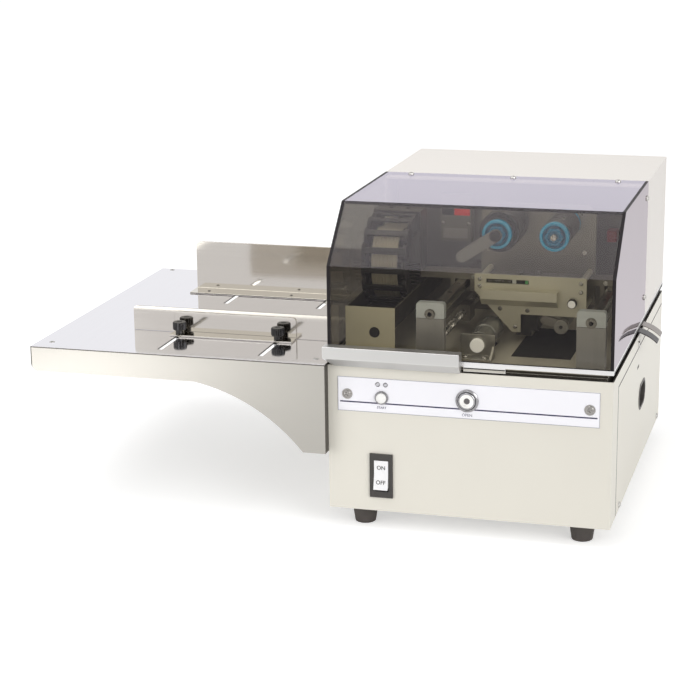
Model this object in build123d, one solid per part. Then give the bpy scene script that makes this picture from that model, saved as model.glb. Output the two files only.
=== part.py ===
from build123d import *
import math
import os

# Desktop thermal transfer printer with a hinged hood and a side feed table.
# Millimetres. X runs along the paper path to the right, Y to the back, Z up.
# The origin is on the table top under the middle of the case.

# Case
CASE_W = 360.0
CASE_D = 500.0
BASE_H = 189.0
FOOT_H = 26.0
SHEET = 2.0
HOOD_GAP = 8.5
HOOD_H = 187.5
PANEL_RETURN = 47.0
TOP_STRIP_H = 18.0
SEAM = 0.5

# Hood
RIM_H = 6.0
RIM_T = 4.0
PANE_T = 4.0
KINK_H = 118.5
SLOPE_D = 73.0
PANES_D = 294.0
COVER_LIP = 20.0
PANE_SCREW_SETBACK = 12.0
TOP_SCREW_XS = (-141.0, 0.0, 141.0)
SIDE_SCREW_TOP_DROP = 21.0
SIDE_SCREW_LOW_RISE = 32.0
STRIKE_X0 = -6.0
STRIKE_W = 53.0
STRIKE_DROP = 6.0
GRIP_REACH = 16.0
GRIP_TOP_RISE = 18.5
GRIP_FACE_H = 15.0
GRIP_LIP_H = 11.0
GRIP_LIP_SLANT = 9.0
GRIP_OVERHANG = 3.0
GRIP_END_CUT = 13.0
GRIP_RIGHT_X = -8.0

# Hood hinges
HINGE_X = 120.0
HINGE_SETBACK = 4.0
KNUCKLE_R = 3.7
HINGE_PIN_R = 2.0
OUTER_KNUCKLE_L = 15.0
INNER_KNUCKLE_L = 22.0
KNUCKLE_GAP = 0.3
LEAF_T = 1.5
LEAF_H = 32.0

# Feet and screws
FOOT_TOP_R = 17.3
FOOT_BOTTOM_R = 13.4
FOOT_INSET_X = 39.0
FOOT_INSET_Y = 32.0
FOOT_SCREW_R = 4.5
FOOT_SCREW_DEPTH = 6.0
SCREW_HEAD_R = 4.0
SCREW_HEAD_H = 2.4
SCREW_SHANK_R = 2.0
SCREW_SHANK_L = 7.0
SCREW_FIT = 0.1
PLATE_SCREW_HEAD_R = 6.2
SIDE_SCREW_FRONT = 76.0
SIDE_SCREW_BACK = 28.0
SIDE_SCREW_RISE = 7.0
STRIP_SCREW_FRONT = 236.0
STRIP_SCREW_DROP = 12.0

# Carrying recesses in the side covers
RECESS_GAP = 1.0
RECESS_RISE = 94.0
RECESS_W = 62.0
RECESS_H = 32.0
RECESS_DEPTH = 20.0
RECESS_WALL = 1.5
RECESS_FLANGE = 2.0

# Front panel
OVERLAY_LEFT_X = -167.0
OVERLAY_W = 331.5
OVERLAY_H = 44.6
OVERLAY_DROP = 13.6
OVERLAY_T = 1.0
OVERLAY_SCREW_INSET = 12.4
START_X = -110.0
START_RISE = 150.5
START_R = 6.6
START_BEZEL_R = 8.8
START_PROUD = 3.0
START_TRAVEL = 2.0
OPEN_X = -0.5
OPEN_RISE = 154.2
OPEN_R = 11.0
OPEN_BEZEL_R = 14.6
OPEN_PROUD = 1.5
OPEN_TRAVEL = 3.0
OPEN_DISH_DEPTH = 1.6
BEZEL_PROUD = 2.4
BARREL_WALL = 1.2
BARREL_L = 16.0
PRESS_CLEARANCE = 0.3
LED_XS = (-115.0, -105.0)
LED_RISE = 167.5
LED_R = 3.0
LED_PROUD = 1.2
LED_L = 8.0

# Power switch
SWITCH_X = -111.0
SWITCH_RISE = 47.5
SWITCH_W = 30.0
SWITCH_H = 58.0
SWITCH_BEZEL_T = 2.5
SWITCH_BODY_DEPTH = 24.0
SWITCH_BODY_WALL = 1.6
ROCKER_W = 18.4
ROCKER_H = 38.0
ROCKER_TILT = 7.0
ROCKER_PIVOT_DEPTH = 6.0
ROCKER_PIN_R = 1.5
RUNNING_FIT = 0.05

# Back panel
INLET_X = -120.0
INLET_RISE = 44.0
INLET_W = 48.0
INLET_H = 28.0
INLET_DEPTH = 25.0
INLET_FLANGE = 3.0
VENT_COUNT = 12
VENT_W = 4.0
VENT_H = 50.0
VENT_PITCH = 10.0
VENT_X = 80.0
VENT_RISE = 110.0

# Deck under the hood
DECK_DROP_BELOW_TABLE = 0.5
DECK_T = 3.0
DECK_SETBACK = 6.0
DECK_LEG_GAP = 5.0
PLATEN_X0 = 38.0
PLATEN_W = 76.0
PLATEN_FRONT = 81.0
PLATEN_L = 150.0
PLATEN_T = 2.3
PLATEN_SINK = 2.0
PLATEN_FIT = 0.1

# Upright frame plate
ROOM_BEHIND_PLATE = 176.0
MAIN_PLATE_T = 6.0
MAIN_PLATE_EDGE_GAP = 10.0
MAIN_PLATE_TOP_GAP = 9.0

# Front posts and the two rails
POST_W = 36.0
POST_T = 12.0
POST_FRONT = 42.0
POST_H = 73.5
POST_CORNER_R = 4.0
POST_LEFT_X = -58.0
POST_RIGHT_X = 145.0
POST_SCREW_DROP = 14.5
RAIL_LEFT_X = -50.0
RAIL_RIGHT_X = 149.0
RAIL_W = 20.0
RAIL_BASE_H = 12.0
RAIL_HEAD_W = 13.0
RAIL_HEAD_H = 8.0
RAIL_TOP_DROP = 3.5

# Print carriage
CARRIAGE_TRAVEL = 70.0
CARRIAGE_BACK = 228.0
CARRIAGE_T = 6.0
CARRIAGE_LEFT_X = -30.0
CARRIAGE_RIGHT_X = 122.0
CARRIAGE_TOP_H = 170.0
CARRIAGE_CORNER = 10.0
BRIDGE_D = 32.0
BRIDGE_T = 8.0
SLIDE_FIT = 0.3
CHEEK_T = 6.0
CHEEK_H = 16.0
NUT_H = 22.0
SCREW_DROP_BELOW_RAIL = 26.0
DRIVE_SCREW_R = 5.0

# Plate over the print head
HEAD_PLATE_FRONT = 150.0
HEAD_PLATE_T = 3.0
HEAD_PLATE_LEFT_X = -24.0
HEAD_PLATE_LOW_H = 38.0
HEAD_PLATE_TIP_X = 26.0
HEAD_PLATE_TIP_W = 11.0
HEAD_PLATE_TIP_H = 14.0
HEAD_PLATE_STEP_X = 54.0
HEAD_PLATE_EAR_W = 18.0
HEAD_PLATE_EAR_H = 23.0
HEAD_PLATE_CUT_H = 48.0
HEAD_SLOT_X0 = -9.0
HEAD_SLOT_W = 56.0
HEAD_SLOT_H = 5.5
HEAD_SLOT_DROP = 9.0
HEAD_BLOCK_X0 = -14.0
HEAD_BLOCK_W = 100.0
HEAD_BLOCK_TOP_DROP = 18.5
HEAD_BLOCK_H = 21.0
HEAD_BLOCK_FACE_H = 12.0
HEAD_BLOCK_REACH = 13.0
HEAD_BLOCK_CHAMFER = 9.0
STANDOFF_R = 4.0
STANDOFF_INSET = 7.0
STANDOFF_GAP = 0.2
MECH_SCREW_R = 3.0
MECH_SCREW_H = 1.6

# Print head
HEAD_X0 = 20.0
HEAD_W = 38.0
HEAD_D = 46.0
HEAD_FRONT = 163.0
HEAD_H = 28.0
HEAD_BAR_H = 7.0
HEAD_BAR_INSET = 8.0
HEAD_TRAVEL = 6.0
HEAD_CLEARANCE = 0.2
HEAD_PIN_R = 3.0
HEAD_PIN_SPACING = 24.0
HEAD_PIN_SETBACK = 8.0
HEAD_PIN_PROUD = 6.0

# Pressure knob
KNOB_X = 104.5
KNOB_H = 56.5
KNOB_R = 6.0
KNOB_L = 8.0
KNOB_SHAFT_R = 2.5
KNOB_SHAFT_L = 10.0
KNOB_GAP = 0.3

# Ribbon tension arm and roller
ARM_PIVOT_X = 68.0
ARM_PIVOT_H = 31.0
ARM_TIP_X = 91.0
ARM_TIP_H = 25.5
ARM_W = 12.0
ARM_T = 4.0
ARM_FRONT = 154.0
ARM_SHAFT_R = 3.0
ROLLER_DISC_R = 9.5
ROLLER_DISC_T = 7.0
ROLLER_DISC_GAP = 0.6
ROLLER_R = 8.0
ROLLER_L = 50.0
ROLLER_SHAFT_R = 2.5

# Ribbon reels
SUPPLY_X = 9.0
TAKEUP_X = 83.0
REEL_H = 146.5
AXLE_R = 4.0
HUB_R = 12.0
CORE_R = 19.0
REEL_L = 97.0
REEL_GAP = 2.0
REEL_BACK_GAP = 1.0
HUB_PROUD = 3.0
RIBBON_R = 26.0
RIBBON_W = 66.0
RIBBON_SETBACK = 20.0
LEVER_L = 52.0
LEVER_W = 16.0
LEVER_T = 4.0
LEVER_ANGLE = 214.0

# Feed rollers
FEED_X = -2.0
FEED_R = 16.0
FEED_FRONT_R = 14.5
NIP = 0.5
FEED_FRONT = 76.0
FEED_STEP = 34.0
FEED_L = 80.0
FEED_JOURNAL_R = 6.0
FEED_SHAFT_R = 4.0
FEED_CAP_R = 9.0
FEED_CAP_L = 5.0
FEED_CAP_GAP = 1.0
FEED_COLLAR_R = 11.0
FEED_COLLAR_L = 5.0
DRIVE_R = 10.0
DRIVE_PROUD = 0.2
DRIVE_SLOT_GAP = 1.0
BEARING_T = 3.0
BEARING_FRONT = 66.0
BEARING_LEFT_X = -24.0
BEARING_RIGHT_X = 20.0
BEARING_H = 30.0
BEARING_FOOT_D = 21.0
BEARING_FOOT_T = 3.0
LUG_T = 6.0
LUG_GAP = 2.0
LUG_W = 24.0
LUG_H = 16.0

# Motors, power supply and board
MOTOR_W = 42.0
MOTOR_L = 40.0
SHAFT_IN_MOTOR = 10.0
SUPPLY_UNIT_W = 110.0
SUPPLY_UNIT_D = 130.0
SUPPLY_UNIT_H = 42.0
SUPPLY_UNIT_X = 95.0
SUPPLY_UNIT_GAP = 16.0
BOARD_W = 130.0
BOARD_D = 140.0
BOARD_T = 1.6
BOARD_X = -85.0
BOARD_FRONT = 60.0
BOARD_STANDOFF_H = 8.0
BOARD_STANDOFF_R = 3.0
BOARD_STANDOFF_INSET = 6.0

# Sensors on the frame plate
AMPLIFIER_X0 = -104.0
AMPLIFIER_W = 43.0
AMPLIFIER_D = 18.0
AMPLIFIER_H = 66.0
AMPLIFIER_RISE = 98.0
SENSOR_X = 132.5
SENSOR_RISE = 108.0
SENSOR_W = 13.0
SENSOR_H = 15.0
SENSOR_D = 24.0

# Cable chain and its trough
CHAIN_X = -139.0
CHAIN_W = 60.0
CHAIN_R = 60.0
CHAIN_T = 25.0
CHAIN_FRONT = 118.0
CHAIN_TOP_H = 157.0
LINK_OUTER_T = 5.7
LINK_INNER_T = 4.0
LINK_FIT = 0.3
LINK_BAR_T = 3.0
LINK_BAR_L = 9.0
LINK_COUNT = 8
LINK_TAIL_MARGIN = 5.0
CHAIN_CLIP_LIP = 12.0
LINK_PITCH = 22.0
TROUGH_WALL = 2.0
TROUGH_FIT = 0.5
TROUGH_FRONT = 56.0
TROUGH_H = 61.0
TROUGH_MEDIA_GAP = 4.6
TROUGH_HOLE_R = 7.0
TROUGH_HOLE_X = -133.5
TROUGH_HOLE_H = 28.0

# Exit guides
GUIDE_SETBACK = 41.0
GUIDE_PITCH = 37.0
GUIDE_W = 22.0
GUIDE_T = 1.5
GUIDE_INNER_L = 24.0
GUIDE_OUTER_L = 25.0
GUIDE_APEX_RISE = 2.0
GUIDE_END_DROP = 12.0

# Feed table
TABLE_L = 400.0
TABLE_FRONT = -16.0
TABLE_SETBACK = 38.0
TABLE_T = 2.0
TABLE_TOP_ABOVE_BASE = 3.5
SKIRT_H = 33.0
SKIRT_END_R = 10.0
SKIRT_STRAIGHT_L = 226.0
SKIRT_DEEP_H = 117.0
SKIRT_DEEP_L = 30.0
SKIRT_CURVE_RISE = 22.0
SKIRT_CURVE_SHIFT = 0.46
SKIRT_FLANGE_D = 34.0
SLOT_XS = (-409.0, -272.0)
SLOT_W = 7.0
SLOT_SPANS = ((8.0, 147.0), (266.0, 330.0))
TABLE_SCREW_INSET = 19.0
TABLE_SCREW_FRONT = 27.0
TABLE_SCREW_BACK = 8.0

# Fences on the table
FENCE_LEFT_X = -480.0
FENCE_GAP = 3.0
FENCE_T = 2.0
REAR_FENCE_Y = 345.0
REAR_FENCE_H = 71.0
REAR_FENCE_FOOT = 32.0
FENCE_CORNER_R = 8.0
FRONT_FENCE_Y = 98.0
FRONT_FENCE_H = 33.0
FENCE_LIFT = 0.3
CLAMP_OVERHANG_L = 12.0
CLAMP_OVERHANG_R = 21.0
CLAMP_H = 29.0
CLAMP_FOOT = 22.0
CLAMP_CORNER_R = 5.0
KNURL_R = 9.0
KNURL_H = 11.0
NECK_R = 6.0
NECK_H = 5.0
STUD_R = 3.0
STUD_SETBACK = 13.0
STUD_HOLE_FIT = 0.3
STUD_NUT_R = 7.0
STUD_NUT_H = 4.0

# Main planes worked out from the sizes above
HALF_W = CASE_W / 2
FRONT = -CASE_D / 2
BACK = CASE_D / 2
BASE_Z = FOOT_H
BASE_TOP = FOOT_H + BASE_H
HOOD_Z = BASE_TOP + HOOD_GAP
PANE_Z = HOOD_Z + RIM_H
TOP_Z = HOOD_Z + HOOD_H
KINK_Z = HOOD_Z + KINK_H
PANES_BACK = FRONT + PANES_D
TABLE_Z = BASE_TOP + TABLE_TOP_ABOVE_BASE
DECK_Z = TABLE_Z - DECK_DROP_BELOW_TABLE
PLATE_HALF_W = HALF_W - MAIN_PLATE_EDGE_GAP
DECK_HALF_W = PLATE_HALF_W + SHEET
PLATE_BACK_Y = BACK - ROOM_BEHIND_PLATE
PLATE_Y = PLATE_BACK_Y - MAIN_PLATE_T
RECESS_Y = PLATE_Y - RECESS_GAP - RECESS_W / 2
SIDE_SCREW_YS = (FRONT + SIDE_SCREW_FRONT, BACK - SIDE_SCREW_BACK)
STRIP_SCREW_Y = FRONT + STRIP_SCREW_FRONT
OVERLAY_Z1 = BASE_TOP - OVERLAY_DROP
OVERLAY_Z0 = OVERLAY_Z1 - OVERLAY_H
PANEL_FACE = FRONT - OVERLAY_T
POST_Y = FRONT + POST_FRONT
RAIL_TOP = DECK_Z + POST_H - RAIL_TOP_DROP
RAIL_BOTTOM = RAIL_TOP - RAIL_HEAD_H - RAIL_BASE_H
SCREW_Z = RAIL_BOTTOM - SCREW_DROP_BELOW_RAIL
FEED_Z = DECK_Z + NIP + FEED_R
DRIVE_Z = DECK_Z + DRIVE_PROUD - DRIVE_R
REEL_Z = DECK_Z + REEL_H
CARRIAGE_Y = FRONT + CARRIAGE_BACK - CARRIAGE_T
BRIDGE_TOP = RAIL_TOP + SLIDE_FIT + BRIDGE_T
HEAD_PLATE_Y = FRONT + HEAD_PLATE_FRONT
STANDOFF_Z = BRIDGE_TOP + STANDOFF_GAP + STANDOFF_R
HEAD_PLATE_TOP = STANDOFF_Z + STANDOFF_INSET


def slab(x0, x1, y0, y1, z0, z1):
    """A box between two corners."""
    centre = Pos((x0 + x1) / 2, (y0 + y1) / 2, (z0 + z1) / 2)
    return centre * Box(x1 - x0, y1 - y0, z1 - z0)


def rod_x(radius, x0, x1, y, z):
    """A round bar along X."""
    return Pos((x0 + x1) / 2, y, z) * Rot(0, 90, 0) * Cylinder(radius, x1 - x0)


def rod_y(radius, x, y0, y1, z):
    """A round bar along Y."""
    return Pos(x, (y0 + y1) / 2, z) * Rot(90, 0, 0) * Cylinder(radius, y1 - y0)


def rod_z(radius, x, y, z0, z1):
    """A round bar along Z."""
    return Pos(x, y, (z0 + z1) / 2) * Cylinder(radius, z1 - z0)


def plate_xz(points, y0, y1):
    """A flat plate with a straight-sided outline in X and Z."""
    outline = Polyline(*[(x, y0, z) for x, z in points], close=True)
    return extrude(make_face(outline), y1 - y0, dir=(0, 1, 0))


def plate_yz(points, x0, x1):
    """A bar along X with a straight-sided outline in Y and Z."""
    outline = Polyline(*[(x0, y, z) for y, z in points], close=True)
    return extrude(make_face(outline), x1 - x0, dir=(1, 0, 0))


def obround_x(x0, x1, y, z, width, height):
    """A block along X with round ends, wider in Y than it is high."""
    reach = (width - height) / 2
    middle = slab(x0, x1, y - reach, y + reach, z - height / 2, z + height / 2)
    ends = rod_x(height / 2, x0, x1, y - reach, z) + rod_x(height / 2, x0, x1, y + reach, z)
    return middle + ends


def screw_top(x, y, z, head_r=SCREW_HEAD_R):
    """A pan head screw standing on a level face."""
    head = rod_z(head_r, x, y, z, z + SCREW_HEAD_H)
    return head + rod_z(SCREW_SHANK_R, x, y, z - SCREW_SHANK_L, z)


def screw_front(x, y, z, head_r=SCREW_HEAD_R, head_h=SCREW_HEAD_H):
    """A pan head screw whose head faces the front."""
    head = rod_y(head_r, x, y - head_h, y, z)
    return head + rod_y(SCREW_SHANK_R, x, y, y + SCREW_SHANK_L, z)


def screw_side(side, x, y, z):
    """A pan head screw in an outer side wall at the given |x|."""
    head = rod_x(SCREW_HEAD_R, x, x + SCREW_HEAD_H, y, z)
    whole = head + rod_x(SCREW_SHANK_R, x - SCREW_SHANK_L, x, y, z)
    return whole if side > 0 else mirror(whole, Plane.YZ)


def hole_x(y, z):
    """A screw hole through both side walls of the case."""
    return rod_x(SCREW_SHANK_R + SCREW_FIT, -HALF_W - 1, HALF_W + 1, y, z)


# Front panel openings, shared by the panel and its printed overlay
def front_cut():
    y0 = PANEL_FACE - 1
    y1 = FRONT + SHEET + 1
    cut = rod_y(start_barrel_r() + SCREW_FIT, START_X, y0, y1, BASE_Z + START_RISE)
    cut += rod_y(open_barrel_r() + SCREW_FIT, OPEN_X, y0, y1, BASE_Z + OPEN_RISE)
    for x in LED_XS:
        cut += rod_y(LED_R + SCREW_FIT, x, y0, y1, BASE_Z + LED_RISE)
    for x in overlay_screw_xs():
        cut += rod_y(SCREW_SHANK_R + SCREW_FIT, x, y0, y1, overlay_screw_z())
    half_w = SWITCH_W / 2 - SWITCH_BODY_WALL + SCREW_FIT
    half_h = SWITCH_H / 2 - SWITCH_BODY_WALL + SCREW_FIT
    z = BASE_Z + SWITCH_RISE
    cut += slab(SWITCH_X - half_w, SWITCH_X + half_w, y0, y1, z - half_h, z + half_h)
    return cut


def start_barrel_r():
    return START_R + PRESS_CLEARANCE + BARREL_WALL


def open_barrel_r():
    return OPEN_R + PRESS_CLEARANCE + BARREL_WALL


def overlay_screw_xs():
    return (OVERLAY_LEFT_X + OVERLAY_SCREW_INSET, OVERLAY_LEFT_X + OVERLAY_W - OVERLAY_SCREW_INSET)


def overlay_screw_z():
    return (OVERLAY_Z0 + OVERLAY_Z1) / 2


# Case walls
def base_shell():
    """Front panel, its two folded returns and the strips over the side covers."""
    shell = slab(-HALF_W, HALF_W, FRONT, FRONT + SHEET, BASE_Z, BASE_TOP)
    for side in (-1, 1):
        x0, x1 = sorted((side * (HALF_W - SHEET), side * HALF_W))
        shell += slab(x0, x1, FRONT, FRONT + PANEL_RETURN, BASE_Z, BASE_TOP)
        shell += slab(x0, x1, FRONT, BACK - SHEET, BASE_TOP - TOP_STRIP_H, BASE_TOP)
    shell -= front_cut()
    shell -= hole_x(STRIP_SCREW_Y, BASE_TOP - STRIP_SCREW_DROP)
    return shell


def chassis_tray():
    """Bottom plate with the back panel folded up behind it."""
    inner = HALF_W - SHEET
    tray = slab(-inner, inner, FRONT + SHEET, BACK, BASE_Z, BASE_Z + SHEET)
    tray += slab(-HALF_W, HALF_W, BACK - SHEET, BACK, BASE_Z, BASE_TOP)
    z = BASE_Z + INLET_RISE
    tray -= slab(INLET_X - INLET_W / 2, INLET_X + INLET_W / 2, BACK - SHEET - 1, BACK + 1,
                 z - INLET_H / 2, z + INLET_H / 2)
    for i in range(VENT_COUNT):
        x = VENT_X + (i - (VENT_COUNT - 1) / 2) * VENT_PITCH
        z = BASE_Z + VENT_RISE
        tray -= slab(x - VENT_W / 2, x + VENT_W / 2, BACK - SHEET - 1, BACK + 1,
                     z - VENT_H / 2, z + VENT_H / 2)
    return tray


def side_covers():
    """The two flat covers, cut out for the carrying recesses."""
    covers = []
    for side in (-1, 1):
        x0, x1 = sorted((side * (HALF_W - SHEET), side * HALF_W))
        cover = slab(x0, x1, FRONT + PANEL_RETURN + SEAM, BACK - SHEET - SEAM,
                     BASE_Z, BASE_TOP - TOP_STRIP_H - SEAM)
        cover -= recess_block(side, RECESS_W + 2 * SCREW_FIT, RECESS_H + 2 * SCREW_FIT, HALF_W - SHEET - 1)
        for y in SIDE_SCREW_YS:
            cover -= hole_x(y, BASE_Z + SIDE_SCREW_RISE)
        covers.append(cover)
    return Compound(children=covers)


def recess_block(side, width, height, inner_x):
    """The obround block of a carrying recess, from inner_x out past the wall."""
    block = obround_x(inner_x, HALF_W + RECESS_FLANGE, RECESS_Y, BASE_Z + RECESS_RISE, width, height)
    return block if side > 0 else mirror(block, Plane.YZ)


def carry_recesses():
    """Moulded hand cups with a thin flange, one in each side cover."""
    z = BASE_Z + RECESS_RISE
    flange_t = RECESS_FLANGE / 2
    cup = obround_x(HALF_W - RECESS_DEPTH, HALF_W, RECESS_Y, z, RECESS_W, RECESS_H)
    cup += obround_x(HALF_W, HALF_W + flange_t, RECESS_Y, z,
                     RECESS_W + 2 * RECESS_FLANGE, RECESS_H + 2 * RECESS_FLANGE)
    cup -= obround_x(HALF_W - RECESS_DEPTH + RECESS_WALL, HALF_W + flange_t + 1, RECESS_Y, z,
                     RECESS_W - 2 * RECESS_WALL, RECESS_H - 2 * RECESS_WALL)
    return Compound(children=[cup, mirror(cup, Plane.YZ)])


def rubber_feet():
    """Four tapered feet with a screw recess underneath."""
    feet = []
    for x in (-HALF_W + FOOT_INSET_X, HALF_W - FOOT_INSET_X):
        for y in (FRONT + FOOT_INSET_Y, BACK - FOOT_INSET_Y):
            foot = Pos(x, y, FOOT_H / 2) * Cone(FOOT_BOTTOM_R, FOOT_TOP_R, FOOT_H)
            foot -= rod_z(FOOT_SCREW_R, x, y, -1, FOOT_SCREW_DEPTH)
            feet.append(foot)
    return Compound(children=feet)


def case_screws():
    """Screws of the overlay, the side covers, the top strips and the table."""
    screws = []
    for x in overlay_screw_xs():
        screws.append(screw_front(x, PANEL_FACE, overlay_screw_z(), PLATE_SCREW_HEAD_R))
    for side in (-1, 1):
        screws.append(screw_side(side, HALF_W, STRIP_SCREW_Y, BASE_TOP - STRIP_SCREW_DROP))
        for y in SIDE_SCREW_YS:
            screws.append(screw_side(side, HALF_W, y, BASE_Z + SIDE_SCREW_RISE))
    for x, y in table_screw_places():
        screws.append(screw_top(x, y, TABLE_Z))
    return Compound(children=screws)


# Front panel fittings
def front_overlay():
    """The thin label plate across the front panel."""
    plate = slab(OVERLAY_LEFT_X, OVERLAY_LEFT_X + OVERLAY_W, PANEL_FACE, FRONT, OVERLAY_Z0, OVERLAY_Z1)
    return plate - front_cut()


def button_ring(x, z, bezel_r, barrel_r, bore_r):
    """A round bezel and barrel that a push button slides in."""
    ring = rod_y(bezel_r, x, PANEL_FACE - BEZEL_PROUD, PANEL_FACE, z)
    ring += rod_y(barrel_r, x, PANEL_FACE, FRONT + BARREL_L, z)
    return ring - rod_y(bore_r, x, PANEL_FACE - BEZEL_PROUD - 1, FRONT + BARREL_L - BARREL_WALL, z)


def button_rings():
    """Bezels of the start button and of the hood release button."""
    start = button_ring(START_X, BASE_Z + START_RISE, START_BEZEL_R, start_barrel_r(),
                        START_R + PRESS_CLEARANCE)
    release = button_ring(OPEN_X, BASE_Z + OPEN_RISE, OPEN_BEZEL_R, open_barrel_r(),
                          OPEN_R + PRESS_CLEARANCE)
    return Compound(children=[start, release])


def start_button():
    """The round cap that starts a print."""
    end = FRONT + BARREL_L - BARREL_WALL - START_TRAVEL - PRESS_CLEARANCE
    return rod_y(START_R, START_X, PANEL_FACE - BEZEL_PROUD - START_PROUD, end, BASE_Z + START_RISE)


def open_button():
    """The dished cap that lets the hood go."""
    face = PANEL_FACE - BEZEL_PROUD - OPEN_PROUD
    end = FRONT + BARREL_L - BARREL_WALL - OPEN_TRAVEL - PRESS_CLEARANCE
    z = BASE_Z + OPEN_RISE
    dish_edge = OPEN_R - 2 * OPEN_DISH_DEPTH
    dish_r = (dish_edge ** 2 + OPEN_DISH_DEPTH ** 2) / (2 * OPEN_DISH_DEPTH)
    cap = rod_y(OPEN_R, OPEN_X, face, end, z)
    return cap - Pos(OPEN_X, face + OPEN_DISH_DEPTH - dish_r, z) * Sphere(dish_r)


def status_leds():
    """Two round lamps above the start button."""
    y0 = PANEL_FACE - LED_PROUD
    return Compound(children=[rod_y(LED_R, x, y0, y0 + LED_L, BASE_Z + LED_RISE) for x in LED_XS])


def switch_bezel():
    """Frame and housing of the power switch."""
    z = BASE_Z + SWITCH_RISE
    face = FRONT - SWITCH_BEZEL_T
    pin_hole = rod_x(ROCKER_PIN_R + RUNNING_FIT, SWITCH_X - ROCKER_W / 2 - SWITCH_BODY_WALL,
                     SWITCH_X + ROCKER_W / 2 + SWITCH_BODY_WALL, FRONT + ROCKER_PIVOT_DEPTH, z)
    half_w = SWITCH_W / 2 - SWITCH_BODY_WALL
    half_h = SWITCH_H / 2 - SWITCH_BODY_WALL
    open_w = ROCKER_W / 2 + PRESS_CLEARANCE
    open_h = ROCKER_H / 2 + SWITCH_BODY_WALL
    frame = slab(SWITCH_X - SWITCH_W / 2, SWITCH_X + SWITCH_W / 2, face, FRONT,
                 z - SWITCH_H / 2, z + SWITCH_H / 2)
    frame += slab(SWITCH_X - half_w, SWITCH_X + half_w, FRONT, FRONT + SWITCH_BODY_DEPTH,
                  z - half_h, z + half_h)
    frame -= slab(SWITCH_X - open_w, SWITCH_X + open_w, face - 1,
                  FRONT + SWITCH_BODY_DEPTH - SWITCH_BODY_WALL, z - open_h, z + open_h)
    return frame - pin_hole


def power_rocker():
    """The rocker at rest with its top half pressed in."""
    z = BASE_Z + SWITCH_RISE
    y = FRONT + ROCKER_PIVOT_DEPTH
    half = ROCKER_H / 2
    crown = ROCKER_PIVOT_DEPTH + SWITCH_BEZEL_T + half * math.tan(math.radians(ROCKER_TILT))
    valley = ROCKER_PIVOT_DEPTH + SWITCH_BEZEL_T
    depth = ROCKER_PIVOT_DEPTH
    outline = [(-crown, -half), (-valley, 0), (-crown, half), (depth, half / 2), (depth, -half / 2)]
    key = plate_yz(outline, -ROCKER_W / 2, ROCKER_W / 2)
    pin_reach = ROCKER_W / 2 + SWITCH_BODY_WALL / 2
    key += rod_x(ROCKER_PIN_R, -pin_reach, pin_reach, 0, 0)
    return Pos(SWITCH_X, y, z) * Rot(-ROCKER_TILT, 0, 0) * key


def mains_inlet():
    """Appliance inlet in the back panel, with its cord socket open."""
    z = BASE_Z + INLET_RISE
    half_w = INLET_W / 2
    half_h = INLET_H / 2
    body = slab(INLET_X - half_w + SCREW_FIT, INLET_X + half_w - SCREW_FIT, BACK - INLET_DEPTH, BACK,
                z - half_h + SCREW_FIT, z + half_h - SCREW_FIT)
    body += slab(INLET_X - half_w - INLET_FLANGE, INLET_X + half_w + INLET_FLANGE,
                 BACK, BACK + INLET_FLANGE, z - half_h - INLET_FLANGE, z + half_h + INLET_FLANGE)
    socket = slab(INLET_X - half_w / 2, INLET_X + half_w / 2, BACK - INLET_DEPTH + INLET_FLANGE,
                  BACK + INLET_FLANGE + 1, z - half_h / 2, z + half_h / 2)
    return body - socket


# Frame under the hood
def deck_frame():
    """Deck that the paper slides over, on two legs that stand on the tray."""
    x1 = DECK_HALF_W
    y0 = FRONT + DECK_SETBACK
    leg_y1 = RECESS_Y - RECESS_W / 2 - DECK_LEG_GAP
    deck = slab(-x1, x1, y0, PLATE_Y, DECK_Z - DECK_T, DECK_Z)
    for side in (-1, 1):
        a, b = sorted((side * (x1 - SHEET), side * x1))
        deck += slab(a, b, y0, leg_y1, BASE_Z + SHEET, DECK_Z)
    deck -= platen(PLATEN_FIT)
    gap = DRIVE_SLOT_GAP
    deck -= slab(FEED_X - DRIVE_R - gap, FEED_X + DRIVE_R + gap, FRONT + FEED_FRONT - gap,
                 FRONT + FEED_FRONT + FEED_L + gap, DECK_Z - DECK_T - 1, DECK_Z + 1)
    for y in (FRONT + FEED_FRONT - LUG_GAP - LUG_T, FRONT + FEED_FRONT + FEED_L + LUG_GAP):
        deck += slab(FEED_X - LUG_W / 2, FEED_X + LUG_W / 2, y, y + LUG_T,
                     DECK_Z - DECK_T - LUG_H, DECK_Z - DECK_T)
    return deck - rod_y(FEED_SHAFT_R + RUNNING_FIT, FEED_X, y0, PLATE_Y - 1, DRIVE_Z)


def platen(fit):
    """The rubber pad under the print head, or the pocket that holds it."""
    y0 = FRONT + PLATEN_FRONT
    return slab(PLATEN_X0 - fit, PLATEN_X0 + PLATEN_W + fit, y0 - fit, y0 + PLATEN_L + fit,
                DECK_Z - PLATEN_SINK, DECK_Z - PLATEN_SINK + PLATEN_T)


def main_plate():
    """The upright plate that carries the rails, the shafts and the motors."""
    plate = slab(-PLATE_HALF_W, PLATE_HALF_W, PLATE_Y, PLATE_BACK_Y,
                 BASE_Z + SHEET, TOP_Z - MAIN_PLATE_TOP_GAP)
    for x, z, r in shaft_places():
        plate -= rod_y(r + RUNNING_FIT, x, PLATE_Y - 1, PLATE_BACK_Y + 1, z)
    return plate


def shaft_places():
    """Shafts that pass through the upright plate, as x, z and radius."""
    return ((FEED_X, FEED_Z, FEED_SHAFT_R), (FEED_X, DRIVE_Z, FEED_SHAFT_R),
            (RAIL_LEFT_X, SCREW_Z, DRIVE_SCREW_R))


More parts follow.
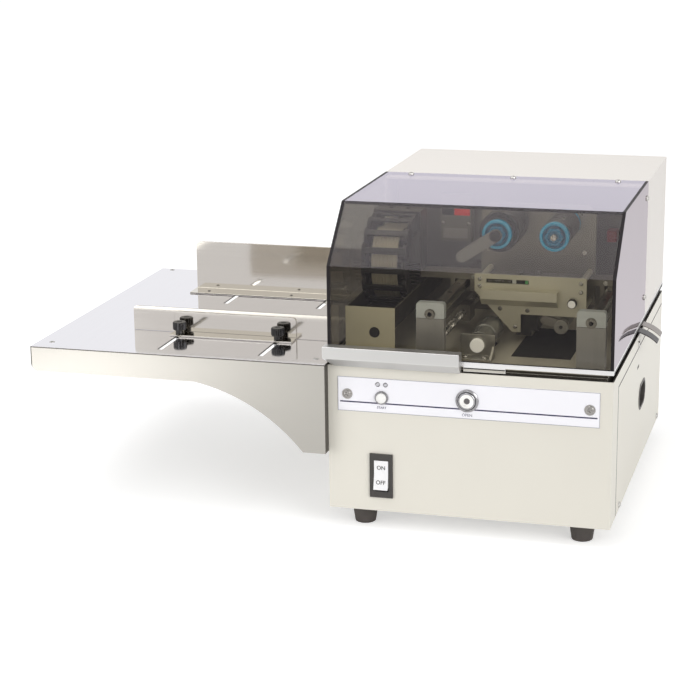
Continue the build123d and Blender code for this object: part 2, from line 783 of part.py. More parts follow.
def front_posts():
    """The two posts that hold the front ends of the rails."""
    posts = []
    for x in (POST_LEFT_X, POST_RIGHT_X):
        post = slab(x - POST_W / 2, x + POST_W / 2, POST_Y, POST_Y + POST_T, DECK_Z, DECK_Z + POST_H)
        edges = post.edges().filter_by(Axis.Y).group_by(Axis.Z)[-1]
        post = fillet(edges, POST_CORNER_R)
        post -= rod_y(SCREW_SHANK_R + SCREW_FIT, x, POST_Y - 1, POST_Y + POST_T + 1,
                      DECK_Z + POST_H - POST_SCREW_DROP)
        posts.append(post)
    posts[0] -= rod_y(DRIVE_SCREW_R + RUNNING_FIT, RAIL_LEFT_X, POST_Y + POST_T / 2,
                      POST_Y + POST_T + 1, SCREW_Z)
    return Compound(children=posts)


def guide_rails():
    """Two rails from the posts to the upright plate."""
    rails = []
    for x in (RAIL_LEFT_X, RAIL_RIGHT_X):
        y0 = POST_Y + POST_T
        rail = slab(x - RAIL_W / 2, x + RAIL_W / 2, y0, PLATE_Y, RAIL_BOTTOM, RAIL_BOTTOM + RAIL_BASE_H)
        rail += slab(x - RAIL_HEAD_W / 2, x + RAIL_HEAD_W / 2, y0, PLATE_Y, RAIL_BOTTOM, RAIL_TOP)
        rails.append(rail)
    return Compound(children=rails)


def exit_guides():
    """Two arched straps that lead printed pieces out over the right wall."""
    x0 = DECK_HALF_W - GUIDE_INNER_L
    x1 = HALF_W + GUIDE_OUTER_L
    z0 = DECK_Z
    z1 = DECK_Z - GUIDE_END_DROP
    apex = DECK_Z + GUIDE_APEX_RISE
    guides = []
    back = PLATE_Y - GUIDE_SETBACK
    for y in (back - GUIDE_PITCH, back):
        y0 = y - GUIDE_W / 2
        low = ThreePointArc((x0, y0, z0), (HALF_W - SHEET / 2, y0, apex), (x1, y0, z1))
        high = ThreePointArc((x0, y0, z0 + GUIDE_T), (HALF_W - SHEET / 2, y0, apex + GUIDE_T),
                             (x1, y0, z1 + GUIDE_T))
        ends = [Line(low @ 0, high @ 0), Line(low @ 1, high @ 1)]
        guides.append(extrude(make_face([low, high] + ends), GUIDE_W, dir=(0, 1, 0)))
    return Compound(children=guides)


# Cable chain beside the carriage
def chain_y():
    return FRONT + CHAIN_FRONT + CHAIN_R


def chain_z():
    return DECK_Z + CHAIN_TOP_H - CHAIN_R


def chain_trough():
    """Sheet trough that the lower run of the chain lies in."""
    half = CHAIN_W / 2 + TROUGH_FIT
    floor = chain_z() - CHAIN_R - LINK_FIT
    y0 = FRONT + TROUGH_FRONT
    z0 = DECK_Z + TROUGH_MEDIA_GAP
    z1 = DECK_Z + TROUGH_H
    trough = slab(CHAIN_X - half, CHAIN_X + half, y0, PLATE_Y, floor - TROUGH_WALL, floor)
    for side in (-1, 1):
        a, b = sorted((CHAIN_X + side * half, CHAIN_X + side * (half + TROUGH_WALL)))
        trough += slab(a, b, y0, PLATE_Y, floor - TROUGH_WALL, z1)
    front = slab(CHAIN_X - half - TROUGH_WALL, CHAIN_X + half + TROUGH_WALL,
                 y0 - TROUGH_WALL, y0, z0, z1)
    hole = rod_y(TROUGH_HOLE_R, TROUGH_HOLE_X, y0 - TROUGH_WALL - 1, y0 + 1, DECK_Z + TROUGH_HOLE_H)
    return trough + (front - hole)


def link_plates(x_offset, thickness, y0, y1, z0, z1):
    """A left and a right side plate of a straight run."""
    a = CHAIN_W / 2 - x_offset
    left = slab(CHAIN_X - a, CHAIN_X - a + thickness, y0, y1, z0, z1)
    return left + slab(CHAIN_X + a - thickness, CHAIN_X + a, y0, y1, z0, z1)


def link_bars(y0, y1, z0, z1):
    """Cross bars along a straight run, above and below its side plates."""
    count = int((y1 - y0) // LINK_PITCH)
    half = CHAIN_W / 2
    bars = Part()
    for i in range(count):
        y = y0 + (i + 0.5) * (y1 - y0) / count
        for z in (z0, z1 - LINK_BAR_T):
            bars += slab(CHAIN_X - half, CHAIN_X + half, y - LINK_BAR_L / 2, y + LINK_BAR_L / 2,
                         z, z + LINK_BAR_T)
    return bars


def chain_lower():
    """Run of the chain that lies still in the trough."""
    z0 = chain_z() - CHAIN_R
    z1 = z0 + CHAIN_T
    y0 = chain_y() + SLIDE_FIT
    run = link_plates(0, LINK_OUTER_T, y0, PLATE_Y, z0, z1)
    return run + link_bars(y0, PLATE_Y, z0, z1)


def chain_bend():
    """Front bend and upper run of the chain, with a tail inside the lower run."""
    y = chain_y()
    z = chain_z()
    inner_r = CHAIN_R - CHAIN_T
    side_t = LINK_OUTER_T + LINK_FIT + LINK_INNER_T
    half = CHAIN_W / 2
    front_half = slab(CHAIN_X - half, CHAIN_X + half, y - CHAIN_R, y, z - CHAIN_R, z + CHAIN_R)
    ring = rod_x(CHAIN_R, CHAIN_X - half, CHAIN_X + half, y, z)
    ring -= rod_x(inner_r, CHAIN_X - half, CHAIN_X + half, y, z)
    bend = (ring & front_half) - slab(CHAIN_X - half + side_t, CHAIN_X + half - side_t,
                                      y - CHAIN_R, y, z - CHAIN_R, z + CHAIN_R)
    step = 180 / LINK_COUNT
    for i in range(LINK_COUNT):
        turn = Pos(CHAIN_X, y, z) * Rot(step * (i + 0.5), 0, 0)
        for radius in (CHAIN_R - LINK_BAR_T, inner_r + LINK_FIT):
            bend += turn * slab(-half + side_t, half - side_t, -LINK_BAR_L / 2, LINK_BAR_L / 2,
                                radius, radius + LINK_BAR_T - LINK_FIT)
    bend += link_plates(0, side_t, y, CARRIAGE_Y, z + inner_r, z + CHAIN_R)
    bend += link_bars(y, CARRIAGE_Y, z + inner_r, z + CHAIN_R)
    tail_end = y + CARRIAGE_TRAVEL / 2 + LINK_TAIL_MARGIN
    margin = LINK_BAR_T + LINK_FIT
    return bend + link_plates(LINK_OUTER_T + LINK_FIT, LINK_INNER_T, y, tail_end,
                              z - CHAIN_R + margin, z - inner_r - margin)


def chain_clip():
    """Sheet clip that carries the upper run of the chain on the carriage."""
    half = CHAIN_W / 2 + TROUGH_FIT
    y0 = bridge_front()
    y1 = CARRIAGE_Y + CARRIAGE_T
    top = chain_z() + CHAIN_R + SLIDE_FIT
    clip = slab(CHAIN_X - half - SHEET, CHAIN_X + half + SHEET, y0, y1, top, top + SHEET)
    clip += slab(CHAIN_X - half - SHEET, CHAIN_X - half, y0, y1, top - CHAIN_CLIP_LIP, top)
    return clip + slab(CHAIN_X + half, CHAIN_X + half + SHEET, y0, y1, RAIL_TOP + SLIDE_FIT, top)


# Print carriage
def bridge_front():
    return CARRIAGE_Y + CARRIAGE_T - BRIDGE_D


def carriage_frame():
    """Back plate, bridge over the rails, slide cheeks and nut."""
    y0 = CARRIAGE_Y
    y1 = CARRIAGE_Y + CARRIAGE_T
    low = DECK_Z + HEAD_PLATE_LOW_H
    top = DECK_Z + CARRIAGE_TOP_H
    waist = DECK_Z + HEAD_PLATE_CUT_H + CARRIAGE_CORNER
    left = CARRIAGE_LEFT_X
    right = CARRIAGE_RIGHT_X
    corner = CARRIAGE_CORNER
    outline = [(left, waist), (left, top - corner), (left + corner, top), (right - corner, top),
               (right, top - corner), (right, low), (HEAD_PLATE_TIP_X, low), (FEED_X, waist)]
    frame = plate_xz(outline, y0, y1)
    frame += slab(ARM_PIVOT_X - ARM_W, ARM_PIVOT_X + ARM_W, y0, y1, arm_pivot_z() - ARM_W, low)
    z0 = RAIL_TOP + SLIDE_FIT
    z1 = BRIDGE_TOP
    bridge_y0 = bridge_front()
    reach = RAIL_W / 2 + SLIDE_FIT
    clip_x = CHAIN_X + CHAIN_W / 2 + TROUGH_FIT + SHEET
    x1 = RAIL_RIGHT_X + reach + CHEEK_T
    frame += slab(clip_x, x1, bridge_y0, y1, z0, z1)
    for x in (RAIL_LEFT_X, RAIL_RIGHT_X):
        for a in (x - reach - CHEEK_T, x + reach):
            frame += slab(a, a + CHEEK_T, bridge_y0, y1, z0 - CHEEK_H, z0)
    nut_x0 = RAIL_LEFT_X - reach - CHEEK_T
    nut_z0 = SCREW_Z - NUT_H / 2
    frame += slab(nut_x0, nut_x0 + CHEEK_T, bridge_y0, y1, nut_z0, z0)
    frame += slab(nut_x0, RAIL_LEFT_X + RAIL_W / 2, bridge_y0, y1, nut_z0, nut_z0 + NUT_H)
    frame -= rod_y(DRIVE_SCREW_R + RUNNING_FIT, RAIL_LEFT_X, bridge_y0 - 1, y1 + 1, SCREW_Z)
    for x in (SUPPLY_X, TAKEUP_X):
        frame -= rod_y(AXLE_R, x, y0 - 1, y1 + 1, REEL_Z)
    frame -= rod_y(ARM_SHAFT_R + RUNNING_FIT, ARM_PIVOT_X, y0 - 1, y1 + 1, arm_pivot_z())
    for x in head_pin_xs():
        frame -= rod_z(HEAD_PIN_R + RUNNING_FIT, x, head_pin_y(), z0 - 1, z1 + 1)
    return frame


def arm_pivot_z():
    return DECK_Z + ARM_PIVOT_H


def head_pin_xs():
    middle = HEAD_X0 + HEAD_W / 2
    return (middle - HEAD_PIN_SPACING / 2, middle + HEAD_PIN_SPACING / 2)


def head_pin_y():
    return bridge_front() + HEAD_PIN_SETBACK


def head_front_plate():
    """Plate over the print head, with its raised block and three standoffs."""
    y0 = HEAD_PLATE_Y
    y1 = y0 + HEAD_PLATE_T
    top = HEAD_PLATE_TOP
    low = DECK_Z + HEAD_PLATE_LOW_H
    tip = DECK_Z + HEAD_PLATE_TIP_H
    left = HEAD_PLATE_LEFT_X
    tip_right = HEAD_PLATE_TIP_X + HEAD_PLATE_TIP_W
    outline = [(left, top - HEAD_PLATE_EAR_H), (left, top), (CARRIAGE_RIGHT_X, top),
               (CARRIAGE_RIGHT_X, low), (HEAD_PLATE_STEP_X, low), (tip_right, low), (tip_right, tip),
               (HEAD_PLATE_TIP_X, tip), (left + HEAD_PLATE_EAR_W, DECK_Z + HEAD_PLATE_CUT_H)]
    plate = plate_xz(outline, y0, y1)
    slot_z = top - HEAD_SLOT_DROP
    plate -= slab(HEAD_SLOT_X0, HEAD_SLOT_X0 + HEAD_SLOT_W, y0 - 1, y1 + 1,
                  slot_z - HEAD_SLOT_H / 2, slot_z + HEAD_SLOT_H / 2)
    block_top = top - HEAD_BLOCK_TOP_DROP
    face = y0 - HEAD_BLOCK_REACH
    section = [(y0, block_top), (face, block_top), (face, block_top - HEAD_BLOCK_FACE_H),
               (face + HEAD_BLOCK_CHAMFER, block_top - HEAD_BLOCK_H), (y0, block_top - HEAD_BLOCK_H)]
    plate += plate_yz(section, HEAD_BLOCK_X0, HEAD_BLOCK_X0 + HEAD_BLOCK_W)
    for x, z in standoff_places():
        plate += rod_y(STANDOFF_R, x, y1, CARRIAGE_Y, z)
    return plate - rod_y(KNOB_SHAFT_R + RUNNING_FIT, KNOB_X, y0 - 1, y1 + 1, DECK_Z + KNOB_H)


def standoff_places():
    top = STANDOFF_Z
    left = HEAD_PLATE_LEFT_X + STANDOFF_INSET
    right = CARRIAGE_RIGHT_X - STANDOFF_INSET
    low = DECK_Z + HEAD_PLATE_LOW_H + STANDOFF_INSET
    return ((left, top), (right, top), (right, low))


def carriage_screws():
    """Screw heads on the plate over the print head."""
    y = HEAD_PLATE_Y
    screws = []
    for x, z in standoff_places():
        screws.append(rod_y(MECH_SCREW_R, x, y - MECH_SCREW_H, y, z))
    tip_z = DECK_Z + HEAD_PLATE_TIP_H + STANDOFF_INSET
    screws.append(rod_y(MECH_SCREW_R, HEAD_PLATE_TIP_X + STANDOFF_R, y - MECH_SCREW_H, y, tip_z))
    ear_z = HEAD_PLATE_TOP - HEAD_PLATE_EAR_H + STANDOFF_INSET
    screws.append(rod_y(MECH_SCREW_R, HEAD_PLATE_LEFT_X + STANDOFF_INSET, y - MECH_SCREW_H, y, ear_z))
    return Compound(children=screws)


def print_head():
    """Heat sink, print bar and the two guide pins it moves down on."""
    y0 = FRONT + HEAD_FRONT
    y1 = y0 + HEAD_D
    z0 = DECK_Z - PLATEN_SINK + PLATEN_T + HEAD_CLEARANCE + HEAD_TRAVEL
    bar_top = z0 + HEAD_BAR_H
    head = slab(HEAD_X0, HEAD_X0 + HEAD_W, y0, y1, bar_top, z0 + HEAD_H)
    head += slab(HEAD_X0 + HEAD_BAR_INSET, HEAD_X0 + HEAD_W - HEAD_BAR_INSET, y0, y1, z0, bar_top)
    pin_top = BRIDGE_TOP + HEAD_PIN_PROUD
    for x in head_pin_xs():
        head += rod_z(HEAD_PIN_R, x, head_pin_y(), z0 + HEAD_H, pin_top)
    return head


def pressure_knob():
    """White knob that sets the head pressure."""
    y0 = HEAD_PLATE_Y - KNOB_GAP
    z = DECK_Z + KNOB_H
    knob = rod_y(KNOB_R, KNOB_X, y0 - KNOB_L, y0, z)
    return knob + rod_y(KNOB_SHAFT_R, KNOB_X, y0, y0 + KNOB_SHAFT_L, z)


def tension_arm():
    """Flat arm on a long pivot shaft that the ribbon roller hangs on."""
    y0 = FRONT + ARM_FRONT
    y1 = y0 + ARM_T
    pivot_z = arm_pivot_z()
    tip_z = DECK_Z + ARM_TIP_H
    length = math.hypot(ARM_TIP_X - ARM_PIVOT_X, tip_z - pivot_z)
    angle = math.degrees(math.atan2(tip_z - pivot_z, ARM_TIP_X - ARM_PIVOT_X))
    bar = Pos(ARM_PIVOT_X, 0, pivot_z) * Rot(0, -angle, 0) * slab(0, length, y0, y1, -ARM_W / 2, ARM_W / 2)
    arm = bar + rod_y(ARM_W / 2, ARM_PIVOT_X, y0, y1, pivot_z) + rod_y(ARM_W / 2, ARM_TIP_X, y0, y1, tip_z)
    arm += rod_y(ARM_SHAFT_R, ARM_PIVOT_X, y1, CARRIAGE_Y + CARRIAGE_T, pivot_z)
    return arm - rod_y(ROLLER_SHAFT_R + RUNNING_FIT, ARM_TIP_X, y0 - 1, y1 + 1, tip_z)


def ribbon_roller():
    """Roller on the arm's tip, with a disc in front of it."""
    z = DECK_Z + ARM_TIP_H
    y0 = FRONT + ARM_FRONT
    disc_y1 = HEAD_PLATE_Y - ROLLER_DISC_GAP
    roller = rod_y(ROLLER_DISC_R, ARM_TIP_X, disc_y1 - ROLLER_DISC_T, disc_y1, z)
    roller += rod_y(ROLLER_SHAFT_R, ARM_TIP_X, disc_y1, y0 + ARM_T + SLIDE_FIT, z)
    start = y0 + ARM_T + SLIDE_FIT
    return roller + rod_y(ROLLER_R, ARM_TIP_X, start, start + ROLLER_L, z)


# Ribbon reels
def reel_y():
    return CARRIAGE_Y - REEL_BACK_GAP - REEL_L


def lever_y():
    return reel_y() - REEL_GAP - LEVER_T


def spindle_axles():
    """Fixed axles of the two reels."""
    y1 = CARRIAGE_Y + CARRIAGE_T
    supply = rod_y(AXLE_R, SUPPLY_X, lever_y(), y1, REEL_Z)
    return Compound(children=[supply, rod_y(AXLE_R, TAKEUP_X, reel_y() - HUB_PROUD, y1, REEL_Z)])


def reel_hub(x):
    """A hub that turns on its axle and carries a core."""
    hub = rod_y(HUB_R, x, reel_y(), reel_y() + REEL_L, REEL_Z)
    return hub - rod_y(AXLE_R + RUNNING_FIT, x, reel_y() - 1, reel_y() + REEL_L + 1, REEL_Z)


def reel_core(x):
    """The plastic tube that ribbon is wound on."""
    y0 = reel_y() + HUB_PROUD
    core = rod_y(CORE_R, x, y0, reel_y() + REEL_L, REEL_Z)
    return core - rod_y(HUB_R, x, y0 - 1, reel_y() + REEL_L + 1, REEL_Z)


def supply_hub():
    return reel_hub(SUPPLY_X)


def takeup_hub():
    return reel_hub(TAKEUP_X)


def supply_core():
    return reel_core(SUPPLY_X)


def takeup_core():
    return reel_core(TAKEUP_X)


def ribbon_roll():
    """Unused ribbon on the supply core."""
    y0 = reel_y() + RIBBON_SETBACK
    roll = rod_y(RIBBON_R, SUPPLY_X, y0, y0 + RIBBON_W, REEL_Z)
    return roll - rod_y(CORE_R, SUPPLY_X, y0 - 1, y0 + RIBBON_W + 1, REEL_Z)


def reel_lever():
    """Lever on the supply axle that keeps the core from sliding off."""
    y0 = lever_y()
    y1 = y0 + LEVER_T
    angle = math.radians(LEVER_ANGLE)
    tip_x = SUPPLY_X + LEVER_L * math.cos(angle)
    tip_z = REEL_Z + LEVER_L * math.sin(angle)
    bar = slab(0, LEVER_L, y0, y1, -LEVER_W / 2, LEVER_W / 2)
    lever = Pos(SUPPLY_X, 0, REEL_Z) * Rot(0, -LEVER_ANGLE, 0) * bar
    lever += rod_y(LEVER_W / 2, SUPPLY_X, y0, y1, REEL_Z)
    lever += rod_y(LEVER_W / 2, tip_x, y0, y1, tip_z)
    return lever - rod_y(AXLE_R + RUNNING_FIT, SUPPLY_X, y0 - 1, y1 + 1, REEL_Z)


# Feed rollers
def feed_roller():
    """Stepped upper roller with its journal, white cap and long shaft."""
    y0 = FRONT + FEED_FRONT
    y1 = y0 + FEED_L
    bearing_y = FRONT + BEARING_FRONT
    roller = rod_y(FEED_FRONT_R, FEED_X, y0, y0 + FEED_STEP, FEED_Z)
    roller += rod_y(FEED_R, FEED_X, y0 + FEED_STEP, y1, FEED_Z)
    roller += rod_y(FEED_COLLAR_R, FEED_X, y0 - FEED_COLLAR_L, y0, FEED_Z)
    cap_y1 = bearing_y - FEED_CAP_GAP
    roller += rod_y(FEED_JOURNAL_R, FEED_X, cap_y1, y0, FEED_Z)
    roller += rod_y(FEED_CAP_R, FEED_X, cap_y1 - FEED_CAP_L, cap_y1, FEED_Z)
    return roller + rod_y(FEED_SHAFT_R, FEED_X, y1, PLATE_BACK_Y, FEED_Z)


def feed_bearing():
    """Front bearing plate of the upper roller, with a foot and a gusset."""
    y0 = FRONT + BEARING_FRONT
    y1 = y0 + BEARING_T
    z1 = DECK_Z + BEARING_H
    bearing = slab(BEARING_LEFT_X, BEARING_RIGHT_X, y0, y1, DECK_Z, z1)
    bearing += slab(BEARING_LEFT_X, BEARING_RIGHT_X, y0 - BEARING_FOOT_D, y0,
                    DECK_Z, DECK_Z + BEARING_FOOT_T)
    gusset = [(y0, DECK_Z), (y0, DECK_Z + BEARING_H / 2), (y0 - BEARING_FOOT_D, DECK_Z + BEARING_FOOT_T),
              (y0 - BEARING_FOOT_D, DECK_Z)]
    bearing += plate_yz(gusset, BEARING_RIGHT_X - BEARING_T, BEARING_RIGHT_X)
    return bearing - rod_y(FEED_JOURNAL_R + RUNNING_FIT, FEED_X, y0 - 1, y1 + 1, FEED_Z)


def drive_roller():
    """Lower roller in the deck slot, driven by its own motor."""
    y0 = FRONT + FEED_FRONT
    y1 = y0 + FEED_L
    roller = rod_y(DRIVE_R, FEED_X, y0, y1, DRIVE_Z)
    return roller + rod_y(FEED_SHAFT_R, FEED_X, y0 - LUG_GAP - LUG_T, PLATE_BACK_Y + SHAFT_IN_MOTOR, DRIVE_Z)


def drive_screw():
    """Lead screw under the left rail that moves the carriage."""
    return rod_y(DRIVE_SCREW_R, RAIL_LEFT_X, POST_Y + POST_T / 2 + SLIDE_FIT,
                 PLATE_BACK_Y + SHAFT_IN_MOTOR, SCREW_Z)


def drive_motors():
    """Square motors behind the upright plate, one per driven shaft."""
    motors = []
    for x, z, r in ((FEED_X, DRIVE_Z, FEED_SHAFT_R), (RAIL_LEFT_X, SCREW_Z, DRIVE_SCREW_R)):
        half = MOTOR_W / 2
        motor = slab(x - half, x + half, PLATE_BACK_Y, PLATE_BACK_Y + MOTOR_L, z - half, z + half)
        motor -= rod_y(r + RUNNING_FIT, x, PLATE_BACK_Y - 1, PLATE_BACK_Y + SHAFT_IN_MOTOR + SLIDE_FIT, z)
        motors.append(motor)
    return Compound(children=motors)


# Electrics
def power_supply():
    """Enclosed power supply on the tray behind the upright plate."""
    x0 = SUPPLY_UNIT_X - SUPPLY_UNIT_W / 2
    y0 = PLATE_BACK_Y + SUPPLY_UNIT_GAP
    z0 = BASE_Z + SHEET
    return slab(x0, x0 + SUPPLY_UNIT_W, y0, y0 + SUPPLY_UNIT_D, z0, z0 + SUPPLY_UNIT_H)


def control_board():
    """Circuit board on four standoffs in the base."""
    z0 = BASE_Z + SHEET
    z1 = z0 + BOARD_STANDOFF_H
    half_w = BOARD_W / 2
    half_d = BOARD_D / 2
    middle_y = FRONT + BOARD_FRONT + half_d
    board = slab(BOARD_X - half_w, BOARD_X + half_w, middle_y - half_d, middle_y + half_d,
                 z1, z1 + BOARD_T)
    for sx in (-1, 1):
        for sy in (-1, 1):
            x = BOARD_X + sx * (half_w - BOARD_STANDOFF_INSET)
            y = middle_y + sy * (half_d - BOARD_STANDOFF_INSET)
            board += rod_z(BOARD_STANDOFF_R, x, y, z0, z1)
    return board


def sensor_units():
    """Sensor amplifier and hood sensor on the face of the upright plate."""
    z0 = DECK_Z + AMPLIFIER_RISE
    amplifier = slab(AMPLIFIER_X0, AMPLIFIER_X0 + AMPLIFIER_W, PLATE_Y - AMPLIFIER_D, PLATE_Y,
                     z0, z0 + AMPLIFIER_H)
    z = DECK_Z + SENSOR_RISE
    sensor = slab(SENSOR_X - SENSOR_W / 2, SENSOR_X + SENSOR_W / 2, PLATE_Y - SENSOR_D, PLATE_Y,
                  z, z + SENSOR_H)
    return Compound(children=[amplifier, sensor])


# Feed table
def table_left():
    return -HALF_W - TABLE_L


def table_screw_places():
    left = table_left() + TABLE_SCREW_INSET
    right = -HALF_W - TABLE_SCREW_INSET
    front = FRONT + TABLE_FRONT + TABLE_SCREW_FRONT
    back = BACK - TABLE_SETBACK - TABLE_SCREW_BACK
    return ((left, front), (right, front), (left, back), (right, back))


def skirt(y0):
    """A curved side sheet under the table, bent on to the case wall."""
    left = table_left()
    right = -HALF_W
    top = TABLE_Z - TABLE_T
    low = TABLE_Z - SKIRT_H
    deep = TABLE_Z - SKIRT_DEEP_H
    r = SKIRT_END_R
    straight = left + SKIRT_STRAIGHT_L
    foot = right - SKIRT_DEEP_L
    corner_mid = r * (1 - math.sqrt(0.5))
    bow = (straight + (foot - straight) * SKIRT_CURVE_SHIFT, y0, low - SKIRT_CURVE_RISE)
    edges = [Line((left, y0, top), (left, y0, low + r)),
             ThreePointArc((left, y0, low + r), (left + corner_mid, y0, low + corner_mid),
                           (left + r, y0, low)),
             Line((left + r, y0, low), (straight, y0, low)),
             ThreePointArc((straight, y0, low), bow, (foot, y0, deep)),
             Line((foot, y0, deep), (right, y0, deep)),
             Line((right, y0, deep), (right, y0, top)),
             Line((right, y0, top), (left, y0, top))]
    return extrude(make_face(edges), SHEET, dir=(0, 1, 0))


def feed_table():
    """Table top with its slots, two skirts and their flanges on the case."""
    left = table_left()
    right = -HALF_W
    y0 = FRONT + TABLE_FRONT
    y1 = BACK - TABLE_SETBACK
    top = slab(left, right, y0, y1, TABLE_Z - TABLE_T, TABLE_Z)
    for x in SLOT_XS:
        for start, end in SLOT_SPANS:
            top -= slab(x - SLOT_W / 2, x + SLOT_W / 2, FRONT + start, FRONT + end,
                        TABLE_Z - TABLE_T - 1, TABLE_Z + 1)
    for x, y in table_screw_places():
        top -= rod_z(SCREW_SHANK_R + SCREW_FIT, x, y, TABLE_Z - TABLE_T - 1, TABLE_Z + 1)
    table = top + skirt(y0) + skirt(y1 - SHEET)
    low = TABLE_Z - SKIRT_DEEP_H
    table += slab(right - SHEET, right, y0, y0 + SKIRT_FLANGE_D, low, TABLE_Z)
    table += slab(right - SHEET, right, y1 - SKIRT_FLANGE_D, y1, low, TABLE_Z)
    return table


def rounded_fence(x0, x1, y0, z0, height, radius):
    """An upright sheet with rounded upper corners."""
    sheet = slab(x0, x1, y0, y0 + FENCE_T, z0, z0 + height)
    return fillet(sheet.edges().filter_by(Axis.Y).group_by(Axis.Z)[-1], radius)


def rear_fence():
    """Fixed fence behind the stack, with its foot to the front."""
    x1 = -HALF_W - FENCE_GAP
    y0 = FRONT + REAR_FENCE_Y
    fence = rounded_fence(FENCE_LEFT_X, x1, y0, TABLE_Z, REAR_FENCE_H, FENCE_CORNER_R)
    return fence + slab(FENCE_LEFT_X, x1, y0 - REAR_FENCE_FOOT, y0, TABLE_Z, TABLE_Z + FENCE_T)


def clamp_ends():
    return (min(SLOT_XS) - CLAMP_OVERHANG_L, max(SLOT_XS) + CLAMP_OVERHANG_R)


def stud_y():
    return FRONT + FRONT_FENCE_Y - FENCE_T - STUD_SETBACK


def front_fence():
    """Sliding fence in front of the stack, with the bracket that clamps it."""
    x1 = -HALF_W - FENCE_GAP
    y0 = FRONT + FRONT_FENCE_Y
    z0 = TABLE_Z + FENCE_LIFT
    fence = rounded_fence(FENCE_LEFT_X, x1, y0, z0, FRONT_FENCE_H, CLAMP_CORNER_R)
    a, b = clamp_ends()
    fence += rounded_fence(a, b, y0 - FENCE_T, z0, CLAMP_H, CLAMP_CORNER_R)
    foot = slab(a, b, y0 - FENCE_T - CLAMP_FOOT, y0 - FENCE_T, z0, z0 + FENCE_T)
    for x in SLOT_XS:
        foot -= rod_z(STUD_R + STUD_HOLE_FIT, x, stud_y(), z0 - 1, z0 + FENCE_T + 1)
    return fence + foot


def thumb_knob(x):
    """Knurled knob, its stud through the slot and the nut under the table."""
    z0 = TABLE_Z + FENCE_LIFT + FENCE_T + FENCE_LIFT
    knob = rod_z(NECK_R, x, stud_y(), z0, z0 + NECK_H)
    knob += rod_z(KNURL_R, x, stud_y(), z0 + NECK_H, z0 + NECK_H + KNURL_H)
    nut_top = TABLE_Z - TABLE_T - FENCE_LIFT
    knob += rod_z(STUD_R, x, stud_y(), nut_top - STUD_NUT_H, z0)
    return knob + rod_z(STUD_NUT_R, x, stud_y(), nut_top - STUD_NUT_H, nut_top)


def thumb_knob_left():
    return thumb_knob(SLOT_XS[0])


def thumb_knob_right():
    return thumb_knob(SLOT_XS[1])


# Hood
def slope_turn():
    """Angle of the sloped pane from level."""
    return math.atan2(TOP_Z - KINK_Z, SLOPE_D)


def pane_miter():
    """How far the inner edge of the top pane sits behind its outer edge."""
    return PANE_T * math.tan(slope_turn() / 2)


def hood_front_pane():
    """Clear front pane, bent once from upright to sloped."""
    kink_in = KINK_Z - PANE_T * math.tan((math.pi / 2 - slope_turn()) / 2)
    section = [(FRONT, PANE_Z), (FRONT, KINK_Z), (FRONT + SLOPE_D, TOP_Z),
               (FRONT + SLOPE_D + pane_miter(), TOP_Z - PANE_T), (FRONT + PANE_T, kink_in),
               (FRONT + PANE_T, PANE_Z)]
    inner = HALF_W - PANE_T
    return plate_yz(section, -inner, inner)


def hood_top_pane():
    """Clear top pane, mitred to the sloped pane."""
    section = [(FRONT + SLOPE_D, TOP_Z), (PANES_BACK, TOP_Z), (PANES_BACK, TOP_Z - PANE_T),
               (FRONT + SLOPE_D + pane_miter(), TOP_Z - PANE_T)]
    inner = HALF_W - PANE_T
    pane = plate_yz(section, -inner, inner)
    return pane - pane_screw_holes()


def hood_side_panes():
    """Clear side panes that close the hood left and right."""
    outline = [(FRONT, PANE_Z), (FRONT, KINK_Z), (FRONT + SLOPE_D, TOP_Z), (PANES_BACK, TOP_Z),
               (PANES_BACK, PANE_Z)]
    right = plate_yz(outline, HALF_W - PANE_T, HALF_W) - pane_screw_holes()
    left = plate_yz(outline, -HALF_W, -HALF_W + PANE_T) - pane_screw_holes()
    return Compound(children=[left, right])


def pane_screw_y():
    return PANES_BACK - PANE_SCREW_SETBACK


def side_pane_screw_zs():
    return (TOP_Z - SIDE_SCREW_TOP_DROP, HOOD_Z + SIDE_SCREW_LOW_RISE)


def pane_screw_holes():
    """Screw holes through the panes and the lip of the rear cover."""
    y = pane_screw_y()
    holes = Part()
    for x in TOP_SCREW_XS:
        holes += rod_z(SCREW_SHANK_R + SCREW_FIT, x, y, TOP_Z - PANE_T - SHEET - 1, TOP_Z + 1)
    for z in side_pane_screw_zs():
        holes += hole_x(y, z)
    return holes


def hood_screws():
    """Screws that hold the panes to the rear cover."""
    y = pane_screw_y()
    screws = [screw_top(x, y, TOP_Z) for x in TOP_SCREW_XS]
    for side in (-1, 1):
        for z in side_pane_screw_zs():
            screws.append(screw_side(side, HALF_W, y, z))
    return Compound(children=screws)


def arch(outer_x, outer_z, thickness, y0, y1):
    """An upside down U of sheet standing on the hood rim."""
    whole = slab(-outer_x, outer_x, y0, y1, PANE_Z, outer_z)
    inner = outer_x - thickness
    return whole - slab(-inner, inner, y0 - 1, y1 + 1, PANE_Z - 1, outer_z - thickness)


def rear_cover():
    """Painted rear half of the hood, with a lip under the clear panes."""
    cover = arch(HALF_W, TOP_Z, SHEET, PANES_BACK, BACK)
    cover += slab(-HALF_W, HALF_W, BACK - SHEET, BACK, PANE_Z, TOP_Z)
    cover += arch(HALF_W, TOP_Z, PANE_T + SHEET, PANES_BACK, PANES_BACK + SHEET)
    cover += arch(HALF_W - PANE_T, TOP_Z - PANE_T, SHEET, PANES_BACK - COVER_LIP, PANES_BACK + SHEET)
    return cover - pane_screw_holes()


